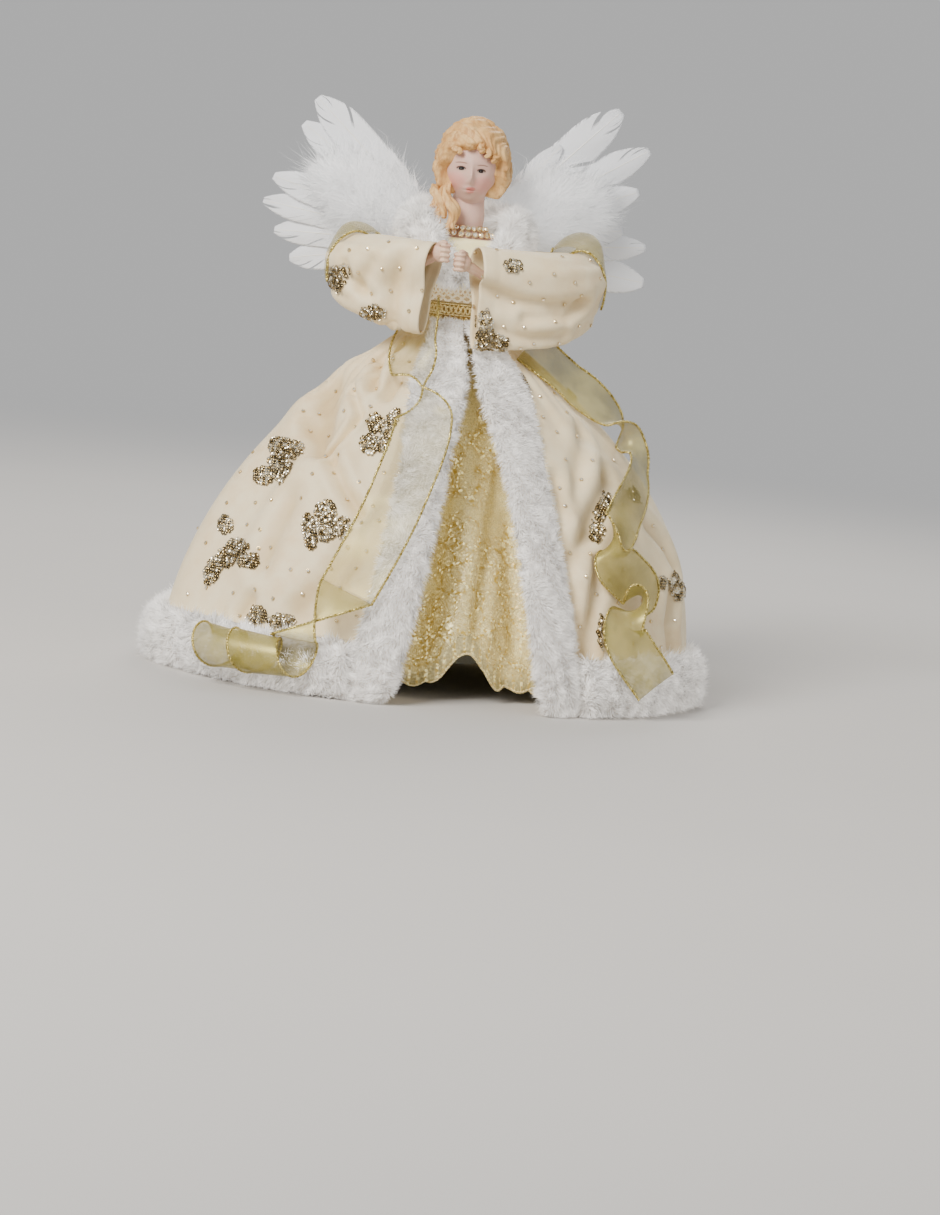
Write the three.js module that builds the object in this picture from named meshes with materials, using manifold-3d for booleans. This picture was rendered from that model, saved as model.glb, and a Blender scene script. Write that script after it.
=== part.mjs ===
// Angel tree topper: a doll on a hollow cone, in a fur-trimmed coat, with feather wings.
// Millimetres, +Z up. The figure faces -Y and her right hand is on -X. The fur hem stands on Z = 0.
import * as THREE from "three";
import Module from "manifold-3d";

const wasm = await Module();
wasm.setup();
const { lerp, smoothstep, clamp, degToRad } = THREE.MathUtils;
const TAU = 2 * Math.PI;
const vec = (x, y, z) => new THREE.Vector3(x, y, z);

// Driving dimensions: clearances and cloth
const CLEARANCE = 0.4;
const COAT_CLOTH = 0.9;
const GOWN_CLOTH = 0.8;
const LACE_CLOTH = 0.6;
const RIBBON_CLOTH = 0.6;
const RIBBON_WIDTH = 38;

// Driving dimensions: the figure
const WAIST_Z = 245;
const CHEST_RISE = 35;
const SHOULDER_RISE = 14;
const NECK_SLOPE = 14;
const NECK_LENGTH = 13;
const WAIST_RX = 18;
const WAIST_RY = 15;
const CHEST_RX = 26;
const CHEST_RY = 18;
const NECK_R = 9;
const HEAD_RX = 19.5;
const HEAD_RY = 21;
const HEAD_RZ = 27;
const HEAD_FORWARD = 4;
const HAIR_DEPTH = 5.5;

// Driving dimensions: the support cone
const CONE_FOOT_Z = 20;
const CONE_FOOT_R = 66;
const CONE_TOP_R = 14;
const CONE_WALL = 1;
const CONE_LAP_DEG = 22;
const CONE_END_DEG = 36;
const CONE_CORNER = 15;

// Driving dimensions: skirts, coat and fur
const GOWN_FOOT_Z = 15;
const GOWN_FOOT_R = 106;
const GOWN_FOLDS = 9;
const GOWN_FOLD_DEPTH = 5;
const LACE_FOOT_Z = 3;
const LACE_POINTS = 18;
const NOTCH_HEIGHT = 30;
const NOTCH_DEG = 9;
const HEM_RX = 177;
const HEM_FRONT = 147;
const HEM_BACK = 148;
const COAT_BELL_RIGHT = 2;
const COAT_BELL_LEFT = 2.4;
const COAT_FOLDS = 9;
const COAT_FOLD_DEPTH = 6;
const SEAM_DEG = 104;
const FUR_WIDTH = 30;
const FUR_DEPTH = 17;
const HEM_FUR_HEIGHT = 38;
const HEM_FUR_DEPTH = 23;
const OPENING_RIGHT = 43;
const OPENING_LEFT = 66;

// Driving dimensions: arms
const ARM_ABOVE_CHEST = 1;
const ARM_WIRE_R = 1.2;
const SLEEVE_REACH = 74;
const SLEEVE_CLOTH = 1.2;
const CUFF_HEIGHT = 62;
const CUFF_DEPTH = 26;
const HAND_SIZE = 14;

// Driving dimensions: wings
const WING_ABOVE_CHEST = 8;
const PAD_THICKNESS = 3;
const WING_SWEEP_DEG = 6;
const FEATHER_LENGTH = 138;
const FEATHER_WIDTH = 23;
const FEATHER_QUILL = 0.85;

// Closed bodies from lists of points and triangles
function body(points, triangles) {
  let volume = 0;
  for (const [a, b, c] of triangles) {
    volume += points[a].dot(points[b].clone().cross(points[c]));
  }
  const faces = volume < 0 ? triangles.map(([a, b, c]) => [a, c, b]) : triangles;
  const geometry = new THREE.BufferGeometry();
  geometry.setFromPoints(points);
  geometry.setIndex(faces.flat());
  return geometry;
}

// A sheet of cloth or card: the surface point(u, v) made as thick as the cloth.
// The thickness follows the surface's normal, or the direction that push(u, v) gives.
function sheet(point, across, along, thickness, { closed = false, push = null } = {}) {
  const spread = (steps) => (Array.isArray(steps) ? steps : range(steps + 1, (i) => i / steps));
  const us = spread(across);
  const vs = spread(along);
  const last = vs.length - 1;
  const columns = closed ? us.length - 1 : us.length;
  const step = 1e-3;
  const normal = (u, v) => {
    const u0 = closed ? u - step : Math.max(u - step, 0);
    const u1 = closed ? u + step : Math.min(u + step, 1);
    const dv = point(u, Math.min(v + step, 1)).sub(point(u, Math.max(v - step, 0)));
    return point(u1, v).sub(point(u0, v)).cross(dv).normalize();
  };
  const points = [];
  const at = (i, j, side) => 2 * ((i % columns) * vs.length + j) + side;
  for (let i = 0; i < columns; i++) {
    for (const v of vs) {
      const half = (push ?? normal)(us[i], v).multiplyScalar(thickness / 2);
      points.push(point(us[i], v).add(half), point(us[i], v).sub(half));
    }
  }
  const triangles = [];
  const quad = (a, b, c, d) => triangles.push([a, b, c], [a, c, d]);
  const rim = (a, b) => quad(b, a, a + 1, b + 1);
  for (let i = 0; i < us.length - 1; i++) {
    for (let j = 0; j < last; j++) {
      quad(at(i, j, 0), at(i + 1, j, 0), at(i + 1, j + 1, 0), at(i, j + 1, 0));
      quad(at(i, j, 1), at(i, j + 1, 1), at(i + 1, j + 1, 1), at(i + 1, j, 1));
    }
    rim(at(i, 0, 0), at(i + 1, 0, 0));
    rim(at(i + 1, last, 0), at(i, last, 0));
  }
  for (let j = 0; !closed && j < last; j++) {
    rim(at(0, j + 1, 0), at(0, j, 0));
    rim(at(columns - 1, j, 0), at(columns - 1, j + 1, 0));
  }
  return body(points, triangles);
}

// A solid through a row of rings that each have the same number of points.
function loft(rings, { closed = false } = {}) {
  const sides = rings[0].length;
  const points = rings.flat();
  const triangles = [];
  const spans = closed ? rings.length : rings.length - 1;
  for (let k = 0; k < spans; k++) {
    const a = k * sides;
    const b = ((k + 1) % rings.length) * sides;
    for (let i = 0; i < sides; i++) {
      const n = (i + 1) % sides;
      triangles.push([a + i, a + n, b + n], [a + i, b + n, b + i]);
    }
  }
  if (!closed) {
    const last = (rings.length - 1) * sides;
    for (let i = 1; i < sides - 1; i++) {
      triangles.push([0, i + 1, i], [last, last + i, last + i + 1]);
    }
  }
  return body(points, triangles);
}

const range = (count, make) => Array.from({ length: count }, (_, i) => make(i));
const ring = (sides, make) => range(sides, (i) => make((TAU * i) / sides));

function manifold(geometry) {
  const merged = new Map();
  const points = [];
  const source = geometry.index ? geometry : null;
  const position = geometry.attributes.position;
  const number = (i) => {
    const p = [position.getX(i), position.getY(i), position.getZ(i)];
    const key = p.map((c) => Math.round(c * 1e4)).join(" ");
    if (!merged.has(key)) {
      merged.set(key, points.length / 3);
      points.push(...p);
    }
    return merged.get(key);
  };
  const count = source ? source.index.count : position.count;
  const triangles = [];
  for (let i = 0; i < count; i += 3) {
    const t = [0, 1, 2].map((k) => number(source ? source.index.getX(i + k) : i + k));
    if (new Set(t).size === 3) {
      triangles.push(...t);
    }
  }
  return new wasm.Manifold(new wasm.Mesh({
    numProp: 3,
    vertProperties: new Float32Array(points),
    triVerts: new Uint32Array(triangles),
  }));
}

function geometryOf(solid) {
  const mesh = solid.getMesh();
  const geometry = new THREE.BufferGeometry();
  geometry.setAttribute("position", new THREE.BufferAttribute(new Float32Array(mesh.vertProperties), 3));
  geometry.setIndex(new THREE.BufferAttribute(new Uint32Array(mesh.triVerts), 1));
  return geometry;
}

const join = (...parts) => geometryOf(parts.map(manifold).reduce((sum, part) => sum.add(part)));
function cut(part, ...tools) {
  return geometryOf(tools.map(manifold).reduce((rest, tool) => rest.subtract(tool), manifold(part)));
}

function rod(points, radius, sides = 8, steps = 12) {
  const circle = new THREE.Shape();
  circle.absarc(0, 0, radius, 0, TAU);
  const extrudePath = new THREE.CatmullRomCurve3(points);
  const curveSegments = sides / 2;
  return new THREE.ExtrudeGeometry(circle, { extrudePath, steps, curveSegments, bevelEnabled: false });
}

// Materials
function paint(color, roughness, metalness = 0) {
  return new THREE.MeshStandardMaterial({ color, roughness, metalness });
}
const satin = paint(0xe0d2ba, 0.45);
const gold = paint(0xc9a55c, 0.4, 0.6);
const gown = paint(0xd8c08e, 0.4);
const fur = paint(0xf6f3ee, 0.95);
const plume = paint(0xf2f2f0, 0.8);
const organza = paint(0xbfae62, 0.35, 0.3);
const skin = paint(0xe6c8b6, 0.55);
const hairPaint = paint(0xe0b27c, 0.6);
const wirePaint = paint(0x9a9a98, 0.4, 0.9);
const foam = paint(0xf0eee8, 0.9);
const clear = paint(0xe6e8e6, 0.3);

const topper = new THREE.Group();
topper.name = "angel_tree_topper";
function add(name, geometry, material, parent = topper) {
  const mesh = new THREE.Mesh(geometry, material);
  mesh.name = name;
  parent.add(mesh);
}

// Heights, each from the one below it
const CHEST_Z = WAIST_Z + CHEST_RISE;
const SHOULDER_TOP_Z = CHEST_Z + SHOULDER_RISE;
const NECK_BASE_Z = SHOULDER_TOP_Z + NECK_SLOPE;
const CHIN_Z = NECK_BASE_Z + NECK_LENGTH;
const ARM_Z = CHEST_Z + ARM_ABOVE_CHEST;
const WING_Z = CHEST_Z + WING_ABOVE_CHEST;

// The figure's half width and half depth at a height
const FIGURE = [
  [WAIST_Z, WAIST_RX, WAIST_RY],
  [CHEST_Z, CHEST_RX, CHEST_RY],
  [SHOULDER_TOP_Z, CHEST_RX - 1, CHEST_RY - 1],
  [NECK_BASE_Z, NECK_R + 1.5, NECK_R + 1],
  [CHIN_Z + 8, NECK_R, NECK_R],
];
function figure(z, grow = 0) {
  const next = clamp(FIGURE.findIndex((row) => row[0] > z), 1, FIGURE.length - 1);
  const [z0, x0, y0] = FIGURE[next - 1];
  const [z1, x1, y1] = FIGURE[next];
  const t = smoothstep(z, z0, z1);
  return { rx: lerp(x0, x1, t) + grow, ry: lerp(y0, y1, t) + grow };
}
// Angles run from the front (-Y) towards her left (+X).
const around = (angle, rx, ry, z) => vec(rx * Math.sin(angle), -ry * Math.cos(angle), z);
function figureRing(z, grow, sides) {
  const { rx, ry } = figure(z, grow);
  return ring(sides, (angle) => around(angle, rx, ry, z));
}

// Support cone: a plastic sheet rolled up, its outer end lapped over with a rounded corner
const CONE_TOP_Z = WAIST_Z - 6;
const coneRadius = (z) => lerp(CONE_TOP_R, CONE_FOOT_R, (CONE_TOP_Z - z) / (CONE_TOP_Z - CONE_FOOT_Z));
{
  const sweep = degToRad(360 + CONE_LAP_DEG);
  const lapRise = ((CONE_WALL + CLEARANCE) * (360 + CONE_LAP_DEG)) / 360;
  const cornerShare = CONE_CORNER / (CONE_FOOT_R * sweep);
  const angleAt = (u) => degToRad(CONE_END_DEG) - sweep * (1 - u);
  const foot = (u) => {
    const inside = clamp(1 - (1 - u) / cornerShare, 0, 1);
    return CONE_FOOT_Z + CONE_CORNER * (1 - Math.sqrt(1 - inside * inside));
  };
  const point = (u, v) => {
    const z = lerp(CONE_TOP_Z, foot(u), v);
    const r = coneRadius(z) + lapRise * u;
    return around(angleAt(u), r, r, z);
  };
  const push = (u) => around(angleAt(u), 1, 1, 0);
  const straight = range(37, (i) => (i / 36) * (1 - cornerShare));
  const us = [...straight, ...range(4, (i) => 1 - cornerShare * (0.6 - 0.2 * i))];
  add("support_cone", sheet(point, us, 2, CONE_WALL, { push }), clear);
}

// Torso core: foam, with a plug in the cone's mouth and a bore for the arm wires
const BUST_SEAT_Z = CHEST_Z + 10;
const ribRise = (t) => lerp(WAIST_Z, CHEST_Z, t);
const TORSO_HEIGHTS = [WAIST_Z, ribRise(0.35), ribRise(0.65), CHEST_Z, BUST_SEAT_Z];
const armBore = rod([vec(-60, 0, ARM_Z), vec(0, 0, ARM_Z), vec(60, 0, ARM_Z)], ARM_WIRE_R + CLEARANCE, 12, 2);
{
  const plugR = CONE_TOP_R - CONE_WALL / 2 - CLEARANCE;
  const disc = (r, z) => ring(20, (angle) => around(angle, r, r, z));
  const core = loft([
    disc(plugR, CONE_TOP_Z - 12),
    disc(plugR, CONE_TOP_Z + CLEARANCE),
    ...TORSO_HEIGHTS.map((z) => figureRing(z, 0, 20)),
  ]);
  add("torso_core", cut(core, armBore), foam);
}

// Head and shoulders: one casting
const HEAD_Z = CHIN_Z + HEAD_RZ - 1;
const HEAD_MID = vec(0, -HEAD_FORWARD, HEAD_Z);
const bump = (x, z, x0, z0, wide, tall) => Math.exp(-(((x - x0) / wide) ** 2) - ((z - z0) / tall) ** 2);
function headPoint(dir, grow = 0) {
  const jaw = smoothstep(-dir.z, 0.1, 1);
  const p = vec(HEAD_RX * dir.x * (1 - 0.26 * jaw), HEAD_RY * dir.y * (1 - 0.12 * jaw), HEAD_RZ * dir.z);
  if (dir.y < 0) {
    const z = p.z / HEAD_RZ;
    const x = p.x / HEAD_RX;
    const front = smoothstep(-dir.y, 0.2, 0.7) * HEAD_RY;
    const nose = 0.15 * bump(x, z, 0, -0.24, 0.13, 0.17);
    const brow = 0.05 * bump(x, z, 0, 0.15, 0.7, 0.16);
    const sockets = 0.07 * (bump(x, z, -0.34, 0, 0.2, 0.13) + bump(x, z, 0.34, 0, 0.2, 0.13));
    const lips = 0.06 * bump(x, z, 0, -0.5, 0.22, 0.1);
    const chin = 0.09 * bump(x, z, 0, -0.82, 0.3, 0.17);
    const cheeks = 0.05 * (bump(x, z, -0.45, -0.35, 0.25, 0.25) + bump(x, z, 0.45, -0.35, 0.25, 0.25));
    p.y -= front * (nose + brow - sockets + lips + chin + cheeks);
  }
  return p.addScaledVector(dir, grow).add(HEAD_MID);
}
function headShape(wide, tall, place) {
  const geometry = new THREE.SphereGeometry(1, wide, tall);
  geometry.rotateX(Math.PI / 2);
  const position = geometry.attributes.position;
  for (let i = 0; i < position.count; i++) {
    const p = place(vec(position.getX(i), position.getY(i), position.getZ(i)).normalize());
    position.setXYZ(i, p.x, p.y, p.z);
  }
  return geometry;
}
const neckRise = (t) => lerp(SHOULDER_TOP_Z, NECK_BASE_Z, t);
const bustHeights = [BUST_SEAT_Z, ...[0, 0.3, 0.55, 0.8, 1].map(neckRise), CHIN_Z + 6];
const bustRings = (grow) => bustHeights.map((z) => figureRing(z, grow, 20));
{
  const shoulders = loft(bustRings(0).map((r) => r.map((p) => p.setZ(Math.max(p.z, BUST_SEAT_Z + CLEARANCE)))));
  add("head_bust", join(shoulders, headShape(24, 18, (dir) => headPoint(dir))), skin);
}

// Hair: a waved cap with an open face, and a lock that falls on her right shoulder
{
  const open = (p, dir) => {
    const x = p.x / (HEAD_RX * 0.8);
    const z = (p.z - (HEAD_Z - 5)) / (HEAD_RZ * 0.72);
    const face = Math.hypot(x, z) + smoothstep(dir.y, -0.4, 0);
    const nape = smoothstep(dir.z, -0.8, -0.55);
    return smoothstep(face, 0.97, 1.2) * nape;
  };
  const place = (dir) => {
    const turn = Math.atan2(dir.x, -dir.y);
    const wave = 1.1 * Math.sin(9 * turn + 2.2 * Math.sin(5 * dir.z)) * Math.sqrt(Math.max(1 - dir.z ** 2, 0));
    const side = 1.2 * Math.abs(dir.x) * smoothstep(-dir.z, -0.4, 0.4);
    return headPoint(dir, lerp(-3, HAIR_DEPTH + wave + side, open(headPoint(dir), dir)));
  };
  const lockPath = new THREE.CatmullRomCurve3([
    vec(-17, -6, CHIN_Z + 14), vec(-19.5, -13, CHIN_Z + 4), vec(-16, -20, CHIN_Z - 6),
    vec(-15.5, -23, CHIN_Z - 13), vec(-12.5, -25.5, CHIN_Z - 19),
  ]);
  const lock = loft(range(7, (k) => {
    const t = k / 6;
    const c = lockPath.getPoint(t);
    const r = lerp(4.6, 1.6, t) * (1 + 0.12 * Math.sin(9 * t));
    return ring(8, (angle) => around(angle, r, r, 0).add(c));
  }));
  const inside = headShape(24, 18, (dir) => headPoint(dir, CLEARANCE));
  const cap = cut(headShape(28, 20, place), inside, loft(bustRings(CLEARANCE)));
  add("moulded_hair", cut(join(cap, lock), inside, loft(bustRings(CLEARANCE))), hairPaint);
}

// Beads: two rows round the neckline
function beadRow(z, beads, radius) {
  const { rx, ry } = figure(z, 2 * CLEARANCE + 1.9 * radius);
  return loft(range(2 * beads, (k) => {
    const angle = (TAU * k) / (2 * beads);
    const r = k % 2 ? radius * 0.55 : radius;
    const out = around(angle, 1, 1, 0);
    return ring(5, (turn) => {
      return around(angle, rx, ry, z + r * Math.sin(turn)).addScaledVector(out, r * Math.cos(turn));
    });
  }), { closed: true });
}
const NECKLINE_Z = (SHOULDER_TOP_Z + NECK_BASE_Z) / 2;
add("neckline_beads_lower", beadRow(NECKLINE_Z + 1, 20, 1.4), gold);
add("neckline_beads_upper", beadRow(NECKLINE_Z + 1 + 2.6 + CLEARANCE / 2, 18, 1.2), gold);

// Bodice and the coat's upper part, with the bore for the arm wires
const BODICE_GROW = CLEARANCE + GOWN_CLOTH / 2;
const COAT_GROW = BODICE_GROW + GOWN_CLOTH / 2 + CLEARANCE + COAT_CLOTH / 2;
const BELT_GROW = COAT_GROW + COAT_CLOTH / 2 + CLEARANCE;
{
  const foot = WAIST_Z + CLEARANCE;
  const bodiceTop = neckRise(0.3);
  const rows = (top) => [foot, ...TORSO_HEIGHTS.slice(1), SHOULDER_TOP_Z, top]
    .filter((z, i, all) => i === 0 || z > all[i - 1]).map((z) => (z - foot) / (top - foot));
  const shell = (grow, from, to, top) => (u, v) => {
    const z = lerp(foot, top, v);
    const { rx, ry } = figure(z, grow);
    return around(lerp(from, to, u), rx, ry, z);
  };
  const flat = (from, to) => (u) => around(lerp(from, to, u), 1, 1, 0);
  const bodice = shell(BODICE_GROW, 0, TAU, bodiceTop);
  const whole = { closed: true, push: flat(0, TAU) };
  add("bodice", cut(sheet(bodice, 20, rows(bodiceTop), GOWN_CLOTH, whole), armBore), gown);
  const open = degToRad(48);
  const yoke = shell(COAT_GROW, open, TAU - open, SHOULDER_TOP_Z);
  const split = { push: flat(open, TAU - open) };
  add("coat_yoke", cut(sheet(yoke, 18, rows(SHOULDER_TOP_Z), COAT_CLOTH, split), armBore), satin);
}

// Waist braids: a cream row of loops over a gold row with a scalloped edge
function braid(low, high, points, depth) {
  const grow = BELT_GROW + depth / 2;
  const point = (u, v) => {
    const dip = 0.9 * Math.abs(Math.sin((points * TAU * u) / 2));
    const z = lerp(low + 0.9 - dip, high - 0.9 + dip, v);
    const { rx, ry } = figure(high, grow + 0.5 * dip);
    return around(TAU * u, rx, ry, z);
  };
  return sheet(point, 2 * points, 1, depth, { closed: true, push: (u) => around(TAU * u, 1, 1, 0) });
}
const BRAID_HEIGHT = 10;
add("waist_braid_gold", braid(WAIST_Z + CLEARANCE, WAIST_Z + BRAID_HEIGHT, 20, 2), gold);
add("waist_braid_cream", braid(WAIST_Z + BRAID_HEIGHT + CLEARANCE, WAIST_Z + 2 * BRAID_HEIGHT, 20, 2), satin);

// Gown: a satin skirt and a lace skirt, both lifted in one notch at the front
const NOTCH_AT = degToRad(8);
function skirt(grow, footZ, dip) {
  const top = figure(WAIST_Z);
  return (u, v) => {
    const angle = TAU * u;
    const off = Math.atan2(Math.sin(angle - NOTCH_AT), Math.cos(angle - NOTCH_AT));
    const notch = Math.exp(-((off / degToRad(NOTCH_DEG)) ** 2));
    const foot = footZ + NOTCH_HEIGHT * notch + dip(angle) * (1 - notch);
    const z = lerp(WAIST_Z - CLEARANCE, foot, v);
    const s = (WAIST_Z - z) / WAIST_Z;
    const fold = GOWN_FOLD_DEPTH * s * Math.cos(GOWN_FOLDS * (angle - NOTCH_AT)) + 5 * s * notch;
    const r = lerp(0, GOWN_FOOT_R, 1 - (1 - s) ** 1.15) + fold;
    const keep = 1 - 0.8 * s;
    return around(angle, r + top.rx * keep + grow, r + top.ry * keep + grow, z);
  };
}
const GOWN_GROW = CLEARANCE + GOWN_CLOTH / 2;
const LACE_GROW = GOWN_GROW + GOWN_CLOTH / 2 + 2.5 * CLEARANCE + LACE_CLOTH / 2;
const flare = { closed: true, push: (u) => around(TAU * u, 1, 1, 0) };
const scallop = (angle) => 7 * (1 - Math.abs(Math.cos((LACE_POINTS * (angle - NOTCH_AT)) / 2)));
const satinSkirt = skirt(GOWN_GROW, GOWN_FOOT_Z, () => 0);
const laceSkirt = skirt(LACE_GROW, LACE_FOOT_Z, scallop);
add("underskirt", sheet(satinSkirt, 6 * GOWN_FOLDS, 4, GOWN_CLOTH, flare), gown);
add("lace_overskirt", sheet(laceSkirt, 6 * GOWN_FOLDS, 4, LACE_CLOTH, flare), gold);

// Coat skirt: a bell, fuller on her left, with folds that deepen towards the back
const COAT_TOP_GROW = LACE_GROW + LACE_CLOTH / 2 + 2 * CLEARANCE + COAT_CLOTH / 2;
const toS = (z) => (WAIST_Z - z) / WAIST_Z;
function coatRadius(angle, s) {
  const bell = lerp(COAT_BELL_RIGHT, COAT_BELL_LEFT, (1 + Math.sin(angle)) / 2);
  const rise = 1 - (1 - s) ** bell;
  const back = (1 - Math.cos(angle)) / 2;
  const width = lerp(WAIST_RX + COAT_TOP_GROW, HEM_RX, rise);
  const depth = lerp(WAIST_RY + COAT_TOP_GROW, lerp(HEM_FRONT, HEM_BACK, back), rise);
  const oval = 1 / Math.hypot(Math.sin(angle) / width, Math.cos(angle) / depth);
  const side = smoothstep(back, 0.12, 0.5);
  return oval + COAT_FOLD_DEPTH * s * (1.2 - s) * 3 * side * Math.cos(COAT_FOLDS * angle);
}
function coatPoint(angle, s, lift = 0) {
  const r = coatRadius(angle, s) + lift;
  return around(angle, r, r, WAIST_Z * (1 - s));
}
const edgeRight = (s) => -Math.asin((0.4 * WAIST_RX + OPENING_RIGHT * s) / coatRadius(0, s));
const edgeLeft = (s) => Math.asin((0.4 * WAIST_RX + OPENING_LEFT * s ** 0.7) / coatRadius(0, s));
const furHalf = (s) => lerp(0.34 * WAIST_RX, FUR_WIDTH / 2, smoothstep(s, 0, 0.2)) + 3 * s;
const S_TOP = toS(WAIST_Z - CLEARANCE);
const HEM_ROLL = HEM_FUR_HEIGHT / 2 + 2;
const HEM_TOP = HEM_FUR_HEIGHT - HEM_ROLL + HEM_ROLL * Math.sin(TAU / 5);
const S_HEM = toS(HEM_TOP + CLEARANCE);
{
  const beside = (s, edge) => (furHalf(s) + CLEARANCE) / coatRadius(edge(s), s);
  const seam = (s) => CLEARANCE / coatRadius(Math.PI / 2, s);
  const panel = (from, to, columns) => {
    const point = (u, v) => {
      const s = lerp(S_TOP, S_HEM, v);
      return coatPoint(lerp(from(s), to(s), u), s);
    };
    const push = (u, v) => {
      const s = lerp(S_TOP, S_HEM, v);
      return around(lerp(from(s), to(s), u), 1, 1, 0);
    };
    return sheet(point, columns, 7, COAT_CLOTH, { push });
  };
  const side = degToRad(SEAM_DEG);
  add("coat_panel_right", panel((s) => seam(s) - side, (s) => edgeRight(s) - beside(s, edgeRight), 12), satin);
  add("coat_panel_left", panel((s) => edgeLeft(s) + beside(s, edgeLeft), (s) => side - seam(s), 12), satin);
  add("coat_panel_back", panel(() => side, () => TAU - side, 22), satin);
}

// Fur on the coat's two front edges, each ring level so that the foot is flat
function furFront(edge) {
  const top = S_TOP + 0.004;
  return loft(range(13, (k) => {
    const s = lerp(top, 1, (k / 12) ** 1.15);
    const angle = edge(s);
    const c = coatPoint(angle, s, lerp(0.16, 0.03, smoothstep(s, 0, 0.1)) * FUR_DEPTH);
    const wide = furHalf(s);
    const deep = lerp(0.2 * FUR_DEPTH, FUR_DEPTH / 2, smoothstep(s, 0, 0.3));
    const across = vec(Math.cos(angle), Math.sin(angle), 0);
    const out = around(angle, 1, 1, 0);
    return ring(10, (turn) => c.clone().addScaledVector(across, wide * Math.cos(turn))
      .addScaledVector(out, deep * Math.sin(turn)));
  }));
}
add("fur_front_right", furFront(edgeRight), fur);
add("fur_front_left", furFront(edgeLeft), fur);

// Fur hem: a roll between the two front edges, pressed flat where it stands
{
  const beside = (furHalf(1) + 2 * CLEARANCE) / HEM_FRONT;
  const from = edgeLeft(1) + beside;
  const to = TAU + edgeRight(1) - beside;
  add("fur_hem", loft(range(37, (k) => {
    const angle = lerp(from, to, k / 36);
    const r = coatRadius(angle, toS(0.4 * HEM_FUR_HEIGHT));
    return ring(10, (turn) => {
      const reach = r + (HEM_FUR_DEPTH / 2) * Math.cos(turn);
      const z = HEM_FUR_HEIGHT - HEM_ROLL + HEM_ROLL * Math.sin(turn);
      return around(angle, reach, reach, Math.max(z, 0));
    });
  })), fur);
}

// Fur collar: from the waist over the shoulders and behind the neck
{
  const sideOf = (sign) => [
    vec(sign * 9.5, -28, WAIST_Z + 2 * BRAID_HEIGHT + 10),
    vec(sign * 21, -28, CHEST_Z + 3),
    vec(sign * 34, -17, SHOULDER_TOP_Z + 10),
    vec(sign * 34, 4, SHOULDER_TOP_Z + 16),
    vec(sign * 18, 15, SHOULDER_TOP_Z + 19),
  ];
  const back = vec(0, 18.5, SHOULDER_TOP_Z + 20);
  const path = new THREE.CatmullRomCurve3([...sideOf(-1), back, ...sideOf(1).reverse()]);
  const middle = vec(0, 0, CHEST_Z + 6);
  add("fur_collar", loft(range(25, (k) => {
    const t = k / 24;
    const c = path.getPoint(t);
    const tangent = path.getTangent(t);
    const out = c.clone().sub(middle).addScaledVector(tangent, -c.clone().sub(middle).dot(tangent)).normalize();
    const across = tangent.clone().cross(out);
    const middleness = 1 - Math.abs(2 * t - 1);
    const wide = lerp(6.5, 13, smoothstep(middleness, 0, 0.35)) - 4.5 * smoothstep(middleness, 0.6, 0.9);
    const deep = lerp(5, 7.5, smoothstep(middleness, 0, 0.35));
    return ring(10, (turn) => c.clone().addScaledVector(across, wide * Math.cos(turn))
      .addScaledVector(out, deep * Math.sin(turn)));
  })), fur);
}

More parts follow.
